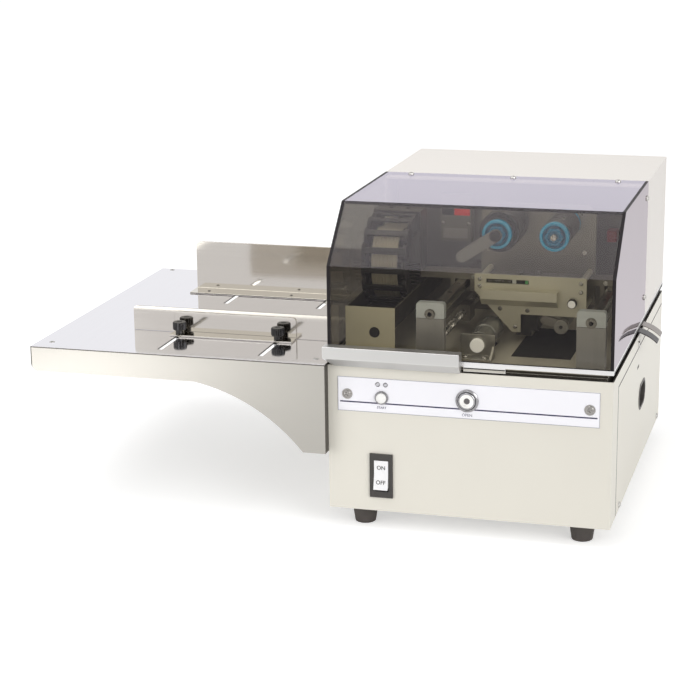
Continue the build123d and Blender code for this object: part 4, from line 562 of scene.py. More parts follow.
# Front posts and rails
# Two aluminium posts stand on the deck, each with a paler clamping cap and one big socket screw. The two
# steel rails run from them to the upright plate. Their heads are ground and bright.
post_grey = brushed("post_grey", (166, 165, 163), 0.4, "z", metal=0.5, lines=(0.08, 0.4))
cap_grey = brushed("cap_grey", (214, 220, 222), 0.4, metal=0.4)
POSTS_X, CAP_Z = (-58, 145), 271.5
posts = from_frame("front_posts")
cut_across(posts, 2, CAP_Z)
ease_edges(posts, 0.8, 3)
colour_faces(posts, lambda middle, face: middle.z > CAP_Z)
for post_x in POSTS_X:
    block(posts, post_x - 18.02, post_x + 18.02, -208.1, -195.9, CAP_Z - 0.4, CAP_Z + 0.1, 2)
shadow_line = surface("shadow_line", (48, 46, 44), 0.5, peel=(0.05, 1.2))
finished("front_posts_capped", posts, "chassis", [post_grey, cap_grey, shadow_line],
         ("front_posts",))
rail_steel = brushed("rail_steel", (186, 184, 178), 0.22, "y")
eased_part("guide_rails", "chassis", rail_steel, 0.6)


# Screws
# Bought screws, set by one tree: it makes a head with its recess once, stands a copy on every point along
# the point's own direction, and turns each copy by its own chance, from a fixed seed.
def new_tree(name, lengths, others):
    """An empty tree with its named inputs, lengths in mm, and what comes in and goes out."""
    tree = bpy.data.node_groups.new(name, "GeometryNodeTree")
    face = tree.interface
    face.new_socket("Geometry", in_out="INPUT", socket_type="NodeSocketGeometry")
    for label, value in lengths.items():
        face.new_socket(label, in_out="INPUT", socket_type="NodeSocketFloat").default_value = value * MM
    for label, (kind, value) in others.items():
        socket = face.new_socket(label, in_out="INPUT", socket_type="NodeSocket" + kind)
        if value is not None:
            socket.default_value = value
    face.new_socket("Geometry", in_out="OUTPUT", socket_type="NodeSocketGeometry")
    return tree, put(tree, "NodeGroupInput").outputs, put(tree, "NodeGroupOutput")


def vector(tree, x, y, z):
    """A direction or a place from three numbers or outputs."""
    return put(tree, "ShaderNodeCombineXYZ", {0: x, 1: y, 2: z}).outputs[0]


def joined(tree, *shapes):
    """Several shapes as one."""
    whole = put(tree, "GeometryNodeJoinGeometry")
    for shape in shapes:
        tree.links.new(shape, whole.inputs[0])
    return whole.outputs[0]


def facing_way(tree):
    """The turn that points a copy's own top along the way kept on its point."""
    facing = put(tree, "GeometryNodeInputNamedAttribute", {"Name": "facing"}, data_type="FLOAT_VECTOR")
    return put(tree, "FunctionNodeAlignRotationToVector", {"Vector": facing.outputs["Attribute"]},
               axis="Z").outputs[0]


def copy_to_points(tree, given, made, shape, rotation, material):
    """Stands a real copy of a shape on every point and gives it its material."""
    copies = put(tree, "GeometryNodeInstanceOnPoints",
                 {"Points": given["Geometry"], "Instance": shape, "Rotation": rotation})
    real = put(tree, "GeometryNodeRealizeInstances", {0: copies.outputs[0]})
    painted = put(tree, "GeometryNodeSetMaterial", {"Geometry": real.outputs[0], "Material": material})
    set_inputs(made, {"Geometry": painted.outputs[0]})


SUNK_MM = 0.4
DOME_POWER, WING_SHARE, LEAST_WASHER_MM = 0.45, 0.26, 0.1


def screw_head_tree():
    """Geometry nodes that put a screw head, and a washer if it has one, on every point."""
    tree, given, made = new_tree(
        "screw_heads", {"Head radius": 4.0, "Head height": 2.4, "Recess width": 4.2, "Recess depth": 1.4,
                        "Washer radius": 0.0, "Washer height": 0.8},
        {"Socket recess": ("Bool", False), "Seed": ("Int", 7), "Steel": ("Material", None)})

    def solve(operation, *values):
        return calc(tree, operation, *values)

    radius, height = given["Head radius"], given["Head height"]
    ball = put(tree, "GeometryNodeMeshUVSphere", {"Segments": 24, "Rings": 14, "Radius": radius})
    place = put(tree, "GeometryNodeInputPosition").outputs[0]
    split = put(tree, "ShaderNodeSeparateXYZ", {0: place}).outputs
    share = solve("MAXIMUM", solve("DIVIDE", split["Z"], radius), 0.0)
    dome = solve("MULTIPLY", solve("POWER", share, DOME_POWER), height)
    low = solve("LESS_THAN", split["Z"], 0.0)
    sunk = solve("ADD", solve("MULTIPLY", low, -SUNK_MM * MM), dome)
    pan_head = put(tree, "GeometryNodeSetPosition", {
        "Geometry": ball.outputs["Mesh"], "Position": vector(tree, split["X"], split["Y"], sunk)}).outputs[0]
    can = put(tree, "GeometryNodeMeshCylinder", {"Vertices": 28, "Radius": radius,
                                                 "Depth": solve("ADD", height, SUNK_MM * MM)})
    middle = solve("MULTIPLY", solve("SUBTRACT", height, SUNK_MM * MM), 0.5)
    cap_head = put(tree, "GeometryNodeTransform", {
        "Geometry": can.outputs["Mesh"], "Translation": vector(tree, 0.0, 0.0, middle)}).outputs[0]
    width = given["Recess width"]
    thin = solve("MULTIPLY", width, WING_SHARE)
    deep = solve("MULTIPLY", given["Recess depth"], 2.0)
    wings = [put(tree, "GeometryNodeMeshCube", {"Size": vector(tree, *size)}).outputs["Mesh"]
             for size in ((width, thin, deep), (thin, width, deep))]
    hexagon = put(tree, "GeometryNodeMeshCylinder", {"Vertices": 6, "Radius": solve("MULTIPLY", width, 0.5),
                                                     "Depth": deep}).outputs["Mesh"]

    def cut_out(shape, cutter):
        lifted = put(tree, "GeometryNodeTransform", {"Geometry": cutter,
                                                     "Translation": vector(tree, 0.0, 0.0, height)})
        return put(tree, "GeometryNodeMeshBoolean", {"Mesh 1": shape, "Mesh 2": lifted.outputs[0]},
                   operation="DIFFERENCE", solver="EXACT").outputs["Mesh"]

    head = put(tree, "GeometryNodeSwitch", {
        "Switch": given["Socket recess"], "False": cut_out(cut_out(pan_head, wings[0]), wings[1]),
        "True": cut_out(cap_head, hexagon)}, input_type="GEOMETRY").outputs[0]
    ring = put(tree, "GeometryNodeMeshCylinder", {"Vertices": 32, "Radius": given["Washer radius"],
                                                  "Depth": given["Washer height"]}).outputs["Mesh"]
    washer = put(tree, "GeometryNodeSwitch", {
        "Switch": solve("GREATER_THAN", given["Washer radius"], LEAST_WASHER_MM * MM), "True": ring},
        input_type="GEOMETRY").outputs[0]
    chance = put(tree, "FunctionNodeRandomValue", {3: 2 * math.pi, "Seed": given["Seed"]}, data_type="FLOAT")
    spin = put(tree, "FunctionNodeEulerToRotation", {0: vector(tree, 0.0, 0.0, chance.outputs[1])})
    turned_aim = put(tree, "FunctionNodeRotateRotation", {
        "Rotation": facing_way(tree), "Rotate By": spin.outputs[0]}, rotation_space="LOCAL").outputs[0]
    copy_to_points(tree, given, made, joined(tree, head, washer), turned_aim, given["Steel"])
    return tree


SCREW_TREE = screw_head_tree()


def grown(name, tree, points, inputs, body, material, stands_for=(), smooth=SMOOTH_BELOW,
          facing=None):
    """Runs a tree on points in mm and keeps the result as a plain mesh on its body."""
    mesh = bpy.data.meshes.new(name + "_points")
    mesh.from_pydata([Vector(p) * MM for p in points], [], [])
    if facing:
        way = mesh.attributes.new("facing", "FLOAT_VECTOR", "POINT")
        for index, direction in enumerate(facing):
            way.data[index].vector = direction
    seedling = placed(name + "_seedling", mesh)
    modifier = seedling.modifiers.new("grow", "NODES")
    modifier.node_group = tree
    for item in tree.interface.items_tree:
        if item.item_type == "SOCKET" and item.in_out == "INPUT" and item.name in inputs:
            modifier[item.identifier] = inputs[item.name]
    bpy.context.view_layer.update()
    result = bpy.data.meshes.new_from_object(seedling.evaluated_get(bpy.context.evaluated_depsgraph_get()))
    bpy.data.objects.remove(seedling)
    result.name = name
    if not result.materials:
        result.materials.append(material)
    result.shade_smooth()
    result.set_sharp_from_angle(angle=smooth)
    thing = placed(name, result)
    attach(thing, body)
    if stands_for:
        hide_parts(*stands_for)


def screws(name, places, body, material, head, recess, socket=False, washer=0.0, seed=7, stands_for=()):
    """Screw heads at (x, y, z, direction) on one body. Head is (radius, height), recess is (width, depth)."""
    ways = {"-x": (-1, 0, 0), "+x": (1, 0, 0), "-y": (0, -1, 0), "+y": (0, 1, 0), "-z": (0, 0, -1),
            "+z": (0, 0, 1)}
    inputs = {"Head radius": head[0] * MM, "Head height": head[1] * MM, "Recess width": recess[0] * MM,
              "Recess depth": recess[1] * MM, "Washer radius": washer * MM, "Socket recess": socket,
              "Seed": seed, "Steel": material}
    grown(name, SCREW_TREE, [p[:3] for p in places], inputs, body, material, stands_for,
          facing=[ways[p[3]] for p in places])


screw_nickel = surface("screw_nickel", (188, 186, 182), 0.24, metal=1, mottle=(0.1, 3), peel=(0.05, 0.4))
screw_black = surface("screw_black", (62, 60, 58), 0.34, metal=0.8, mottle=(0.1, 3), peel=(0.08, 0.4))
screw_dull = surface("screw_dull", (138, 136, 131), 0.3, metal=0.9, mottle=(0.1, 3), peel=(0.06, 0.4))
screws("post_screws", [(x, -208, 277, "-y") for x in POSTS_X], "chassis", screw_dull, (5.6, 2.2),
       (6.2, 1.8), socket=True, washer=7, seed=3)
screws("rail_plugs", [(x, y, 288, "+z") for x in (-50, 149) for y in (-180, -130, -80, 0, 50)], "chassis",
       screw_black, (3, 0.15), (2.4, 0.12), socket=True, seed=5)


# Motors and lead screw
# Two stepper motors hang behind the upright plate, each a black laminated stack between two cast end caps.
# The lead screw that moves the carriage is rolled steel, with its thread laid round it by one small tree.
DRIVE_AXIS, LEAD_AXIS = (-2, 0, 208.2), (-50, 0, 242)
STACK_FRONT, STACK_BACK = 82, 106
motors = from_frame("drive_motors")
cut_across(motors, 1, STACK_FRONT, STACK_BACK)
ease_edges(motors, 1.2, 2, 50)
colour_faces(motors, lambda middle, face: STACK_FRONT < middle.y < STACK_BACK)
for motor_x, _, motor_z in (DRIVE_AXIS, LEAD_AXIS):
    block(motors, motor_x - 7, motor_x + 7, 104.5, 114.2, motor_z - 24, motor_z - 19.5, 2)
cast_grey = surface("cast_grey", (168, 168, 166), 0.45, metal=0.9, mottle=(0.08, 8), peel=(0.15, 0.7),
                    wear=0.3)
stack_black = brushed("stack_black", (44, 44, 46), 0.5, metal=0.3, lines=(0.2, 0.5))
plug_white = surface("plug_white", (232, 228, 214), 0.45, mottle=(0.04, 6), peel=(0.1, 0.6))
finished("drive_motors_capped", motors, "chassis", [cast_grey, stack_black, plug_white],
         ("drive_motors",))
screws("motor_screws", [(x + dx, 114, z + dz, "+y") for x, _, z in (DRIVE_AXIS, LEAD_AXIS)
                        for dx in (-15.5, 15.5) for dz in (-15.5, 15.5)], "chassis", screw_nickel, (2.8, 1),
       (2.8, 0.8), seed=41)


def coil_tree():
    """Geometry nodes that wind a wire round the direction of every point."""
    tree, given, made = new_tree("coils", {"Length": 40.0, "Radius": 4.0, "Wire radius": 0.6},
                                 {"Turns": ("Float", 10.0), "Wire sides": ("Int", 6),
                                  "Steel": ("Material", None)})
    path = put(tree, "GeometryNodeCurveSpiral", {
        "Resolution": 20, "Rotations": given["Turns"], "Start Radius": given["Radius"],
        "End Radius": given["Radius"], "Height": given["Length"]})
    section = put(tree, "GeometryNodeCurvePrimitiveCircle", {"Resolution": given["Wire sides"],
                                                             "Radius": given["Wire radius"]})
    wire = put(tree, "GeometryNodeCurveToMesh", {
        "Curve": path.outputs[0], "Profile Curve": section.outputs[0], "Fill Caps": True})
    copy_to_points(tree, given, made, wire.outputs[0], facing_way(tree), given["Steel"])
    return tree


COIL_TREE = coil_tree()


def coil(name, start, way, length, radius, wire, turns, sides, body, material):
    """One wound wire from a start point in mm, along a direction."""
    inputs = {"Length": length * MM, "Radius": radius * MM, "Wire radius": wire * MM, "Turns": float(turns),
              "Wire sides": sides, "Steel": material}
    grown(name, COIL_TREE, [start], inputs, body, material, smooth=math.radians(50.0), facing=[way])


rolled_steel = surface("rolled_steel", (186, 184, 180), 0.28, metal=1, mottle=(0.06, 5), peel=(0.05, 0.4),
                       wear=0.2)
lead = bmesh.new()
turned(lead, [(0, -84), (3.6, -84), (4, -83.6), (4, -72), (4.35, -66), (4.35, 186),
             (4, 188), (4, 201.2), (3.5, 201.7), (0, 201.7)], LEAD_AXIS, 28)
finished("drive_screw_core", lead, "lead_screw", rolled_steel, ("drive_screw",))
coil("drive_screw_thread", (LEAD_AXIS[0], 66, LEAD_AXIS[2]), TO_FRONT, 250.0, 4.3, 0.7, 62, 6,
     "lead_screw", rolled_steel)


# Feed rollers
# The stepped feed roller over the deck is grey rubber on a steel shaft, in two widths, with a white end cap
# that glows a little as painted light. Its bearing plate has a folded foot screwed to the deck and a gusset.
# The driven roller turns in the deck's slot.
def glow(material, colour, strength):
    """Lets a finish shine a little by itself."""
    set_inputs(material.node_tree.nodes["Principled BSDF"],
               {"Emission Color": colour, "Emission Strength": strength})


roller_grey = surface("roller_grey", (138, 138, 134), 0.22, metal=0.35, mottle=(0.04, 10), peel=(0.06, 0.5),
                      wear=0.2)
# The white caps shine a little by themselves: painted light that brightens them under the smoked hood.
white_face_painted_glow = surface("white_face_painted_glow", (252, 251, 248), 0.35, mottle=(0.02, 10), peel=(0.06, 0.6))
glow(white_face_painted_glow, (1.0, 0.99, 0.96, 1.0), 0.3)
FEED_AXIS = (-2, 0, 234.5)
feed = bmesh.new()
turned(feed, [(0, 190), (7.6, 190), (9, 189), (9, 185), (0, 185)], FEED_AXIS, 40, material=1)
turned(feed, [(0, 185), (6, 185), (6, 179), (10.6, 179), (11, 178.6), (11, 174),
             (4, 174), (4, -73.6), (3.6, -74), (0, -74)], FEED_AXIS, 40, material=2)
turned(feed, [(4, 174), (13.9, 174), (14.5, 173.4), (14.5, 140.6), (15.2, 140), (16, 139.2),
             (16, 94.8), (15.2, 94), (4, 94)], FEED_AXIS, 64, closed=True)
finished("feed_roller_stepped", feed, "feed_roller", [roller_grey, white_face_painted_glow, rolled_steel],
         ("feed_roller",))
bearing_zinc = surface("bearing_zinc", (170, 168, 160), 0.34, metal=1, mottle=(0.06, 7), peel=(0.06, 0.5),
                       wear=0.3)
eased_part("feed_bearing", "chassis", bearing_zinc, 0.4, 2, 40)
screws("bearing_screws", [(-15, -195, 221, "+z"), (9, -195, 221, "+z")], "chassis", screw_nickel, (3.2, 2),
       (3.4, 1.2), seed=42)
roller_dark = surface("roller_dark", (58, 56, 54), 0.6, mottle=(0.08, 12), peel=(0.2, 0.5), wear=0.15)
driven = bmesh.new()
turned(driven, [(4, 174), (9.6, 174), (10, 173.6), (10, 94.4), (9.6, 94), (4, 94)],
       DRIVE_AXIS, 48, closed=True)
turned(driven, [(0, 182), (3.6, 182), (4, 181.6), (4, -83.6), (3.6, -84), (0, -84)],
       DRIVE_AXIS, 28, material=1)
finished("drive_roller_covered", driven, "drive_roller", [roller_dark, rolled_steel],
         ("drive_roller",))


# Chain trough
# A folded sheet trough with a cable hole in its front plate, lined by a black nylon bush. The front is
# powder coated olive beige; the other faces are painted dark as shade and dark reflection, and their narrow
# cut edges keep the beige coat. A black disc closes the bush behind, as painted shade in the hole. The lower
# run of the cable chain lies in it.
trough_coat = surface("trough_powder_coat", (216, 210, 185), 0.42, mottle=(0.03, 30), peel=(0.12, 1.4),
                      wear=0.5)
trough_painted_shade = surface("trough_painted_shade_sheet", (58, 55, 48), 0.5, metal=0.5, mottle=(0.06, 20),
                      peel=(0.08, 1.2))
nylon = surface("chain_nylon", (34, 31, 28), 0.45, mottle=(0.08, 9), peel=(0.15, 0.7), wear=0.3)
trough = from_frame("chain_trough")
trough.normal_update()
MOSTLY = 0.7
# All faces but those that look to the front are painted dark: painted shade and dark reflection on the
# trough's sides, top, bottom and back.
colour_faces(trough, lambda middle, face: abs(face.normal.x) > MOSTLY or face.normal.y > MOSTLY
             or abs(face.normal.z) > MOSTLY)
mark_cut_edges(trough, 2.3, 0)
ease_edges(trough, 0.5)
# The bush is closed behind by a black disc: painted shade in the cable hole.
turned(trough, [(5.6, 196.2), (6.6, 196.2), (6.9, 195.6), (6.9, 192.4), (0, 192.4), (0, 193.2),
               (5.6, 193.2)], (-133.5, 0, 246), 32, material=2)
finished("chain_trough_folded", trough, "chassis", [trough_coat, trough_painted_shade, nylon],
         ("chain_trough",))


# Cable chain
# Moulded nylon links, each two rounded side plates joined by an outer and an inner bar. One tree makes a
# link and sets a copy on every point, turned to the way that the chain's outer side looks there.
SLAB_WELD = 1e-5
BOSS_CORNER, BAR_CORNER_MM = 0.46, 0.6


def slab(tree, length, height, corner, thick, x, z):
    """A rounded plate that lies in the chain's side plane, or a bar when it is wide."""
    outline = put(tree, "GeometryNodeCurvePrimitiveQuadrilateral", {"Width": length, "Height": height})
    rounded = put(tree, "GeometryNodeFilletCurve",
                  {"Curve": outline.outputs[0], "Count": 4, "Radius": corner}, mode="POLY")
    filled = put(tree, "GeometryNodeFillCurve", {"Curve": rounded.outputs[0]}).outputs[0]
    raised = put(tree, "GeometryNodeExtrudeMesh",
                 {"Mesh": filled, "Offset Scale": thick, "Individual": False})
    under = put(tree, "GeometryNodeFlipFaces", {"Mesh": filled})
    both = joined(tree, raised.outputs["Mesh"], under.outputs[0])
    welded = put(tree, "GeometryNodeMergeByDistance", {"Geometry": both, "Distance": SLAB_WELD})
    across = calc(tree, "SUBTRACT", x, calc(tree, "MULTIPLY", thick, 0.5))
    return put(tree, "GeometryNodeTransform", {
        "Geometry": welded.outputs[0], "Rotation": (math.pi / 2, 0.0, math.pi / 2),
        "Translation": vector(tree, across, 0.0, z)}).outputs[0]


def chain_link_tree():
    """Geometry nodes that set a chain link on every point."""
    tree, given, made = new_tree(
        "chain_links", {"Link length": 20.0, "Link height": 24.0, "Link width": 60.0, "Plate thickness": 5.0,
                        "Corner radius": 8.0, "Bar length": 9.0, "Bar thickness": 2.8, "Boss radius": 5.0,
                        "Boss height": 0.4}, {"Nylon": ("Material", None)})

    def solve(operation, *values):
        return calc(tree, operation, *values)

    length, height = given["Link length"], given["Link height"]
    width, plate = given["Link width"], given["Plate thickness"]
    bar_thick = given["Bar thickness"]
    reach = solve("SUBTRACT", solve("MULTIPLY", width, 0.5), solve("MULTIPLY", plate, 0.5))
    boss = solve("MULTIPLY", given["Boss radius"], 2.0)
    boss_thick = solve("ADD", plate, solve("MULTIPLY", given["Boss height"], 2.0))
    pieces = []
    for x in (reach, solve("MULTIPLY", reach, -1.0)):
        pieces.append(slab(tree, length, height, given["Corner radius"], plate, x, 0.0))
        pieces.append(slab(tree, boss, boss, solve("MULTIPLY", boss, BOSS_CORNER), boss_thick, x, 0.0))
    rise = solve("MULTIPLY", solve("SUBTRACT", height, bar_thick), 0.5)
    bar_width = solve("SUBTRACT", width, plate)
    for z in (rise, solve("MULTIPLY", rise, -1.0)):
        pieces.append(slab(tree, given["Bar length"], bar_thick, BAR_CORNER_MM * MM, bar_width, 0.0, z))
    copy_to_points(tree, given, made, joined(tree, *pieces), facing_way(tree), given["Nylon"])
    return tree


LINK_TREE = chain_link_tree()
CHAIN_X, BEND_RADIUS = -139, 47.5
BEND_Y, BEND_Z = -72, 315
LOWER_Z, UPPER_Z = BEND_Z - BEND_RADIUS, BEND_Z + BEND_RADIUS


def outward(degrees):
    """The way (y, z) out of the chain's bend: down at 0 degrees, to the front at 90, up at 180."""
    return -math.sin(math.radians(degrees)), -math.cos(math.radians(degrees))


def bend_point(degrees, radius):
    """A point (y, z) in mm at a radius round the middle of the chain's bend."""
    y, z = outward(degrees)
    return BEND_Y + radius * y, BEND_Z + radius * z


def links(name, places, body, length, width, stands_for=()):
    """Chain links at (y, z, angle) in mm and degrees. At angle 0 the outer side looks down, at 180 up."""
    sizes = {"Link length": length, "Link height": 24.4, "Link width": width, "Plate thickness": 5.0,
             "Corner radius": 8.5, "Bar length": 8.6, "Bar thickness": 2.8, "Boss radius": 5.0,
             "Boss height": 0.3}
    inputs = {label: value * MM for label, value in sizes.items()} | {"Nylon": nylon}
    ways = [(0.0, *outward(a)) for _, _, a in places]
    grown(name, LINK_TREE, [(CHAIN_X, y, z) for y, z, _ in places], inputs, body, nylon,
          stands_for, facing=ways)


first_angle, angle_step = 12.0, 25.0
bend = [bend_point(a, BEND_RADIUS) + (a,) for a in (first_angle + angle_step * i for i in range(7))]
bend += [(y, UPPER_Z, 180.0) for y in (-66.0, -45.6)]
links("chain_bend_links", bend[0::2], "chain", 22.6, 59.4, ("chain_bend",))
links("chain_bend_links_between", bend[1::2], "chain", 22.6, 58.4)
links("chain_end_link", [(-36.0, UPPER_Z, 180.0)], "chain", 15.8, 58.4)
run_front, run_pitch = -71.7, 19.957
run = [(run_front + (i + 0.5) * run_pitch, LOWER_Z, 180.0) for i in range(7)]
links("chain_lower_links", run[0::2], "chassis", 19.6, 59.4, ("chain_lower",))
links("chain_lower_links_between", run[1::2], "chassis", 19.6, 58.6)


# Flat cable
# A cream ribbon cable of ten cores runs inside the chain. It shows in the windows between the bars. A short
# nylon tongue of the chain's bend slides inside the lower run.
def ribbon_cable(bm, path, cores=10, pitch=3.5):
    """A ribbed flat cable along (y, z, out y, out z) points in mm, wide across the chain."""
    section = [((i - (cores - 1) / 2 + share) * pitch, height) for i in range(cores)
               for share, height in ((-0.42, 0.5), (-0.2, 1.25), (0.2, 1.25), (0.42, 0.5))]
    outline = section + [(x, -h) for x, h in reversed(section)]
    rings = [[bm.verts.new(Vector((CHAIN_X + x, y + ny * h, z + nz * h)) * MM) for x, h in outline]
             for y, z, ny, nz in path]
    for low, high in zip(rings, rings[1:]):
        for i in range(len(outline)):
            j = (i + 1) % len(outline)
            bm.faces.new((low[i], low[j], high[j], high[i]))
    bm.faces.new(list(reversed(rings[0])))
    bm.faces.new(rings[-1])
    bmesh.ops.recalc_face_normals(bm, faces=bm.faces[:])


cable_cream = surface("cable_cream", (180, 173, 154), 0.45, mottle=(0.03, 12), peel=(0.08, 0.6))
moving = bmesh.new()
route = []
CABLE_OUT, DRAWN_IN, DRAWN_FROM = 52.5, 11.0, 138
for a in range(0, 181, 6):
    radius = CABLE_OUT - max(0, a - DRAWN_FROM) / (180 - DRAWN_FROM) * DRAWN_IN
    route.append(bend_point(a, radius) + outward(a))
ribbon_cable(moving, route + [(y, BEND_Z + CABLE_OUT - DRAWN_IN, 0.0, 1.0) for y in (-60, -46, -30)])
finished("chain_cable", moving, "chain", cable_cream)
tongue = bmesh.new()
for tongue_x in (CHAIN_X - 22, CHAIN_X + 22):
    block(tongue, tongue_x - 2, tongue_x + 2, -74, -32, 258.3, 276.7)
ease_edges(tongue, 0.8)
finished("chain_bend_tongue", tongue, "chain", nylon)
still = bmesh.new()
ribbon_cable(still, [(y, LOWER_Z, 0.0, 1.0) for y in (67.5, 30, 0, -30)])
finished("trough_cable", still, "chassis", cable_cream)


# Chain clip
# A folded sheet clip screwed on the carriage, which holds the chain's upper run.
clip_sheet = brushed("clip_sheet", (112, 108, 102), 0.4, lines=(0.08, 0.5))
eased_part("chain_clip", "carriage", clip_sheet)
screws("clip_screws", [(-150, -38, 377.3, "+z"), (-128, -38, 377.3, "+z")], "carriage", screw_black,
       (3, 1.6), (3.2, 1), seed=43)


# Carriage
# A milled aluminium plate with a bridge across both rails. In front of it, on three turned standoffs,
# stands a thin front plate with a slot and a milled block. Small cross screws hold them.
carriage_grey = brushed("carriage_grey", (150, 146, 138), 0.4, metal=0.6, lines=(0.08, 0.5))
eased_part("carriage_frame", "carriage", carriage_grey, 0.5)
head_olive = brushed("head_olive", (226, 222, 204), 0.38, metal=0.35, lines=(0.03, 0.5), mottle=0.02)
slot_dark = surface("slot_dark", (40, 38, 36), 0.5, mottle=(0.1, 5), peel=(0.1, 0.5))
tag_white = surface("tag_white", (238, 240, 236), 0.4, mottle=(0.02, 4))
tag_green = surface("tag_green", (120, 200, 130), 0.4, mottle=(0.03, 4))
plate = ease_edges(from_frame("head_front_plate"), 0.5)
SLOT_Z = 298.5
block(plate, -8.6, 46.6, -97, -94.6, SLOT_Z - 3.3, SLOT_Z + 3.3, 1)
block(plate, 25.6, 30.4, -99.6, -96.8, SLOT_Z - 2.3, SLOT_Z + 2.3, 2)
block(plate, 42.4, 46, -99.4, -96.8, SLOT_Z - 2.1, SLOT_Z + 2.1, 3)
finished("head_front_plate_fitted", plate, "carriage",
         [head_olive, slot_dark, tag_white, tag_green], ("head_front_plate",))
coil("slot_spring", (-6.5, -98.4, SLOT_Z), (1, 0, 0), 30.0, 1.3, 0.3, 16, 6, "carriage",
     rolled_steel)
screws("head_plate_screws",
       [(-17, -100, 300.5, "-y"), (-17, -100, 291.5, "-y"), (115, -100, 300.5, "-y"),
        (115, -100, 263, "-y"), (30, -100, 239, "-y"), (115, -100, 289, "-y")],
       "carriage", screw_nickel, (2.9, 1.6), (3.2, 1.1), seed=44, stands_for=("carriage_screws",))
screws("head_block_screws", [(10, -100, 262.5, "-y"), (46, -100, 261.5, "-y")], "carriage", screw_dull,
       (3, 1.2), (3.2, 0.9), seed=45)
screws("carriage_plate_screws",
       [(104, -28, 378, "-y"), (20, -28, 378, "-y"), (108, -28, 326, "-y"), (-20, -28, 326, "-y"),
        (-35, -54, 292.3, "-y"), (140, -54, 292.3, "-y")],
       "carriage", screw_nickel, (3, 1.7), (3.4, 1.1), socket=True, seed=46)


# Print head
# A black anodised block with two guide pins carries the ceramic print bar with its brown heater line.
head_black = surface("head_anodised", (66, 64, 62), 0.36, metal=0.6, mottle=(0.06, 10), peel=(0.1, 0.6),
                     wear=0.5)
ceramic = surface("print_ceramic", (206, 200, 186), 0.25, mottle=(0.03, 6))
heater = surface("heater_line", (122, 74, 48), 0.3, mottle=(0.06, 3), peel=(0.05, 0.4))
head = ease_edges(from_frame("print_head"), 0.4)
BAR_TOP, PINS_FROM = 231.4, 252.7
colour_faces(head, lambda middle, face: 1 if middle.z < BAR_TOP else 2 * (middle.z > PINS_FROM))
block(head, 38.2, 39.8, -86.0, -42.0, 224.5, 224.7, 3)
finished("print_head_fitted", head, "head", [head_black, ceramic, rolled_steel, heater],
         ("print_head",))


# Pressure knob, tension arm and ribbon roller
# A round white knob sets the head's pressure; its white face glows a little as painted light. The ribbon
# runs over a steel roller with a grey end disc, on an arm that a spring holds.
PRESS_AXIS = (104.5, 0, 274.5)
press = bmesh.new()
turned(press, [(0, 107.6), (2.2, 107.6), (2.6, 108.3), (5, 108.3), (6, 107.4), (6, 100.3),
              (2.5, 100.3), (2.5, 90.3), (0, 90.3)], PRESS_AXIS, 72, flutes=18, depth=0.35,
       fluted=(4, 5))
KNOB_FACE_Y, KNOB_FACE_RADIUS = -107.3, 5.05
colour_faces(press, lambda middle, face: middle.y > KNOB_FACE_Y
             or math.hypot(middle.x - PRESS_AXIS[0], middle.z - PRESS_AXIS[2]) > KNOB_FACE_RADIUS)
finished("pressure_knob_ribbed", press, "pressure_knob", [white_face_painted_glow, slot_dark],
         ("pressure_knob",))
arm_steel = brushed("arm_steel", (150, 146, 140), 0.34)
eased_part("tension_arm", "tension_arm", arm_steel, 0.5)
disc_grey = surface("disc_grey", (168, 166, 160), 0.36, metal=0.5, mottle=(0.04, 6), peel=(0.06, 0.5),
                    wear=0.3)
guide = bmesh.new()
turned(guide, [(0, 107), (3, 107), (3.4, 107.6), (8.7, 107.6), (9.5, 106.8), (9.5, 101.4),
              (8.7, 100.6), (2.5, 100.6), (2.5, 91.7), (7.4, 91.7), (8, 91.1), (8, 42.3), (7.4, 41.7),
              (0, 41.7)], (91, 0, 243.5), 48)
finished("ribbon_roller_turned", guide, "ribbon_roller", disc_grey, ("ribbon_roller",))
screws("ribbon_roller_screw", [(91, -107, 243.5, "-y")], "ribbon_roller", screw_black, (2.4, 0.6),
       (2.6, 0.5), seed=47)


# Ribbon reels
# Fluted hubs turn on two steel axles and carry bright blue moulded cores. The supply core still holds a
# thick roll of black ribbon, the other the first turns of used ribbon. A grey lever with a dark boss locks
# the supply.
eased_part("spindle_axles", "carriage", rolled_steel, 0.5)
hub_blue = surface("hub_blue", (14, 132, 178), 0.42, mottle=(0.06, 8), peel=(0.1, 0.6), wear=0.3)
core_blue = surface("core_blue", (16, 176, 226), 0.26, mottle=(0.03, 10), peel=(0.06, 0.6), wear=0.4,
                    coat=0.3)
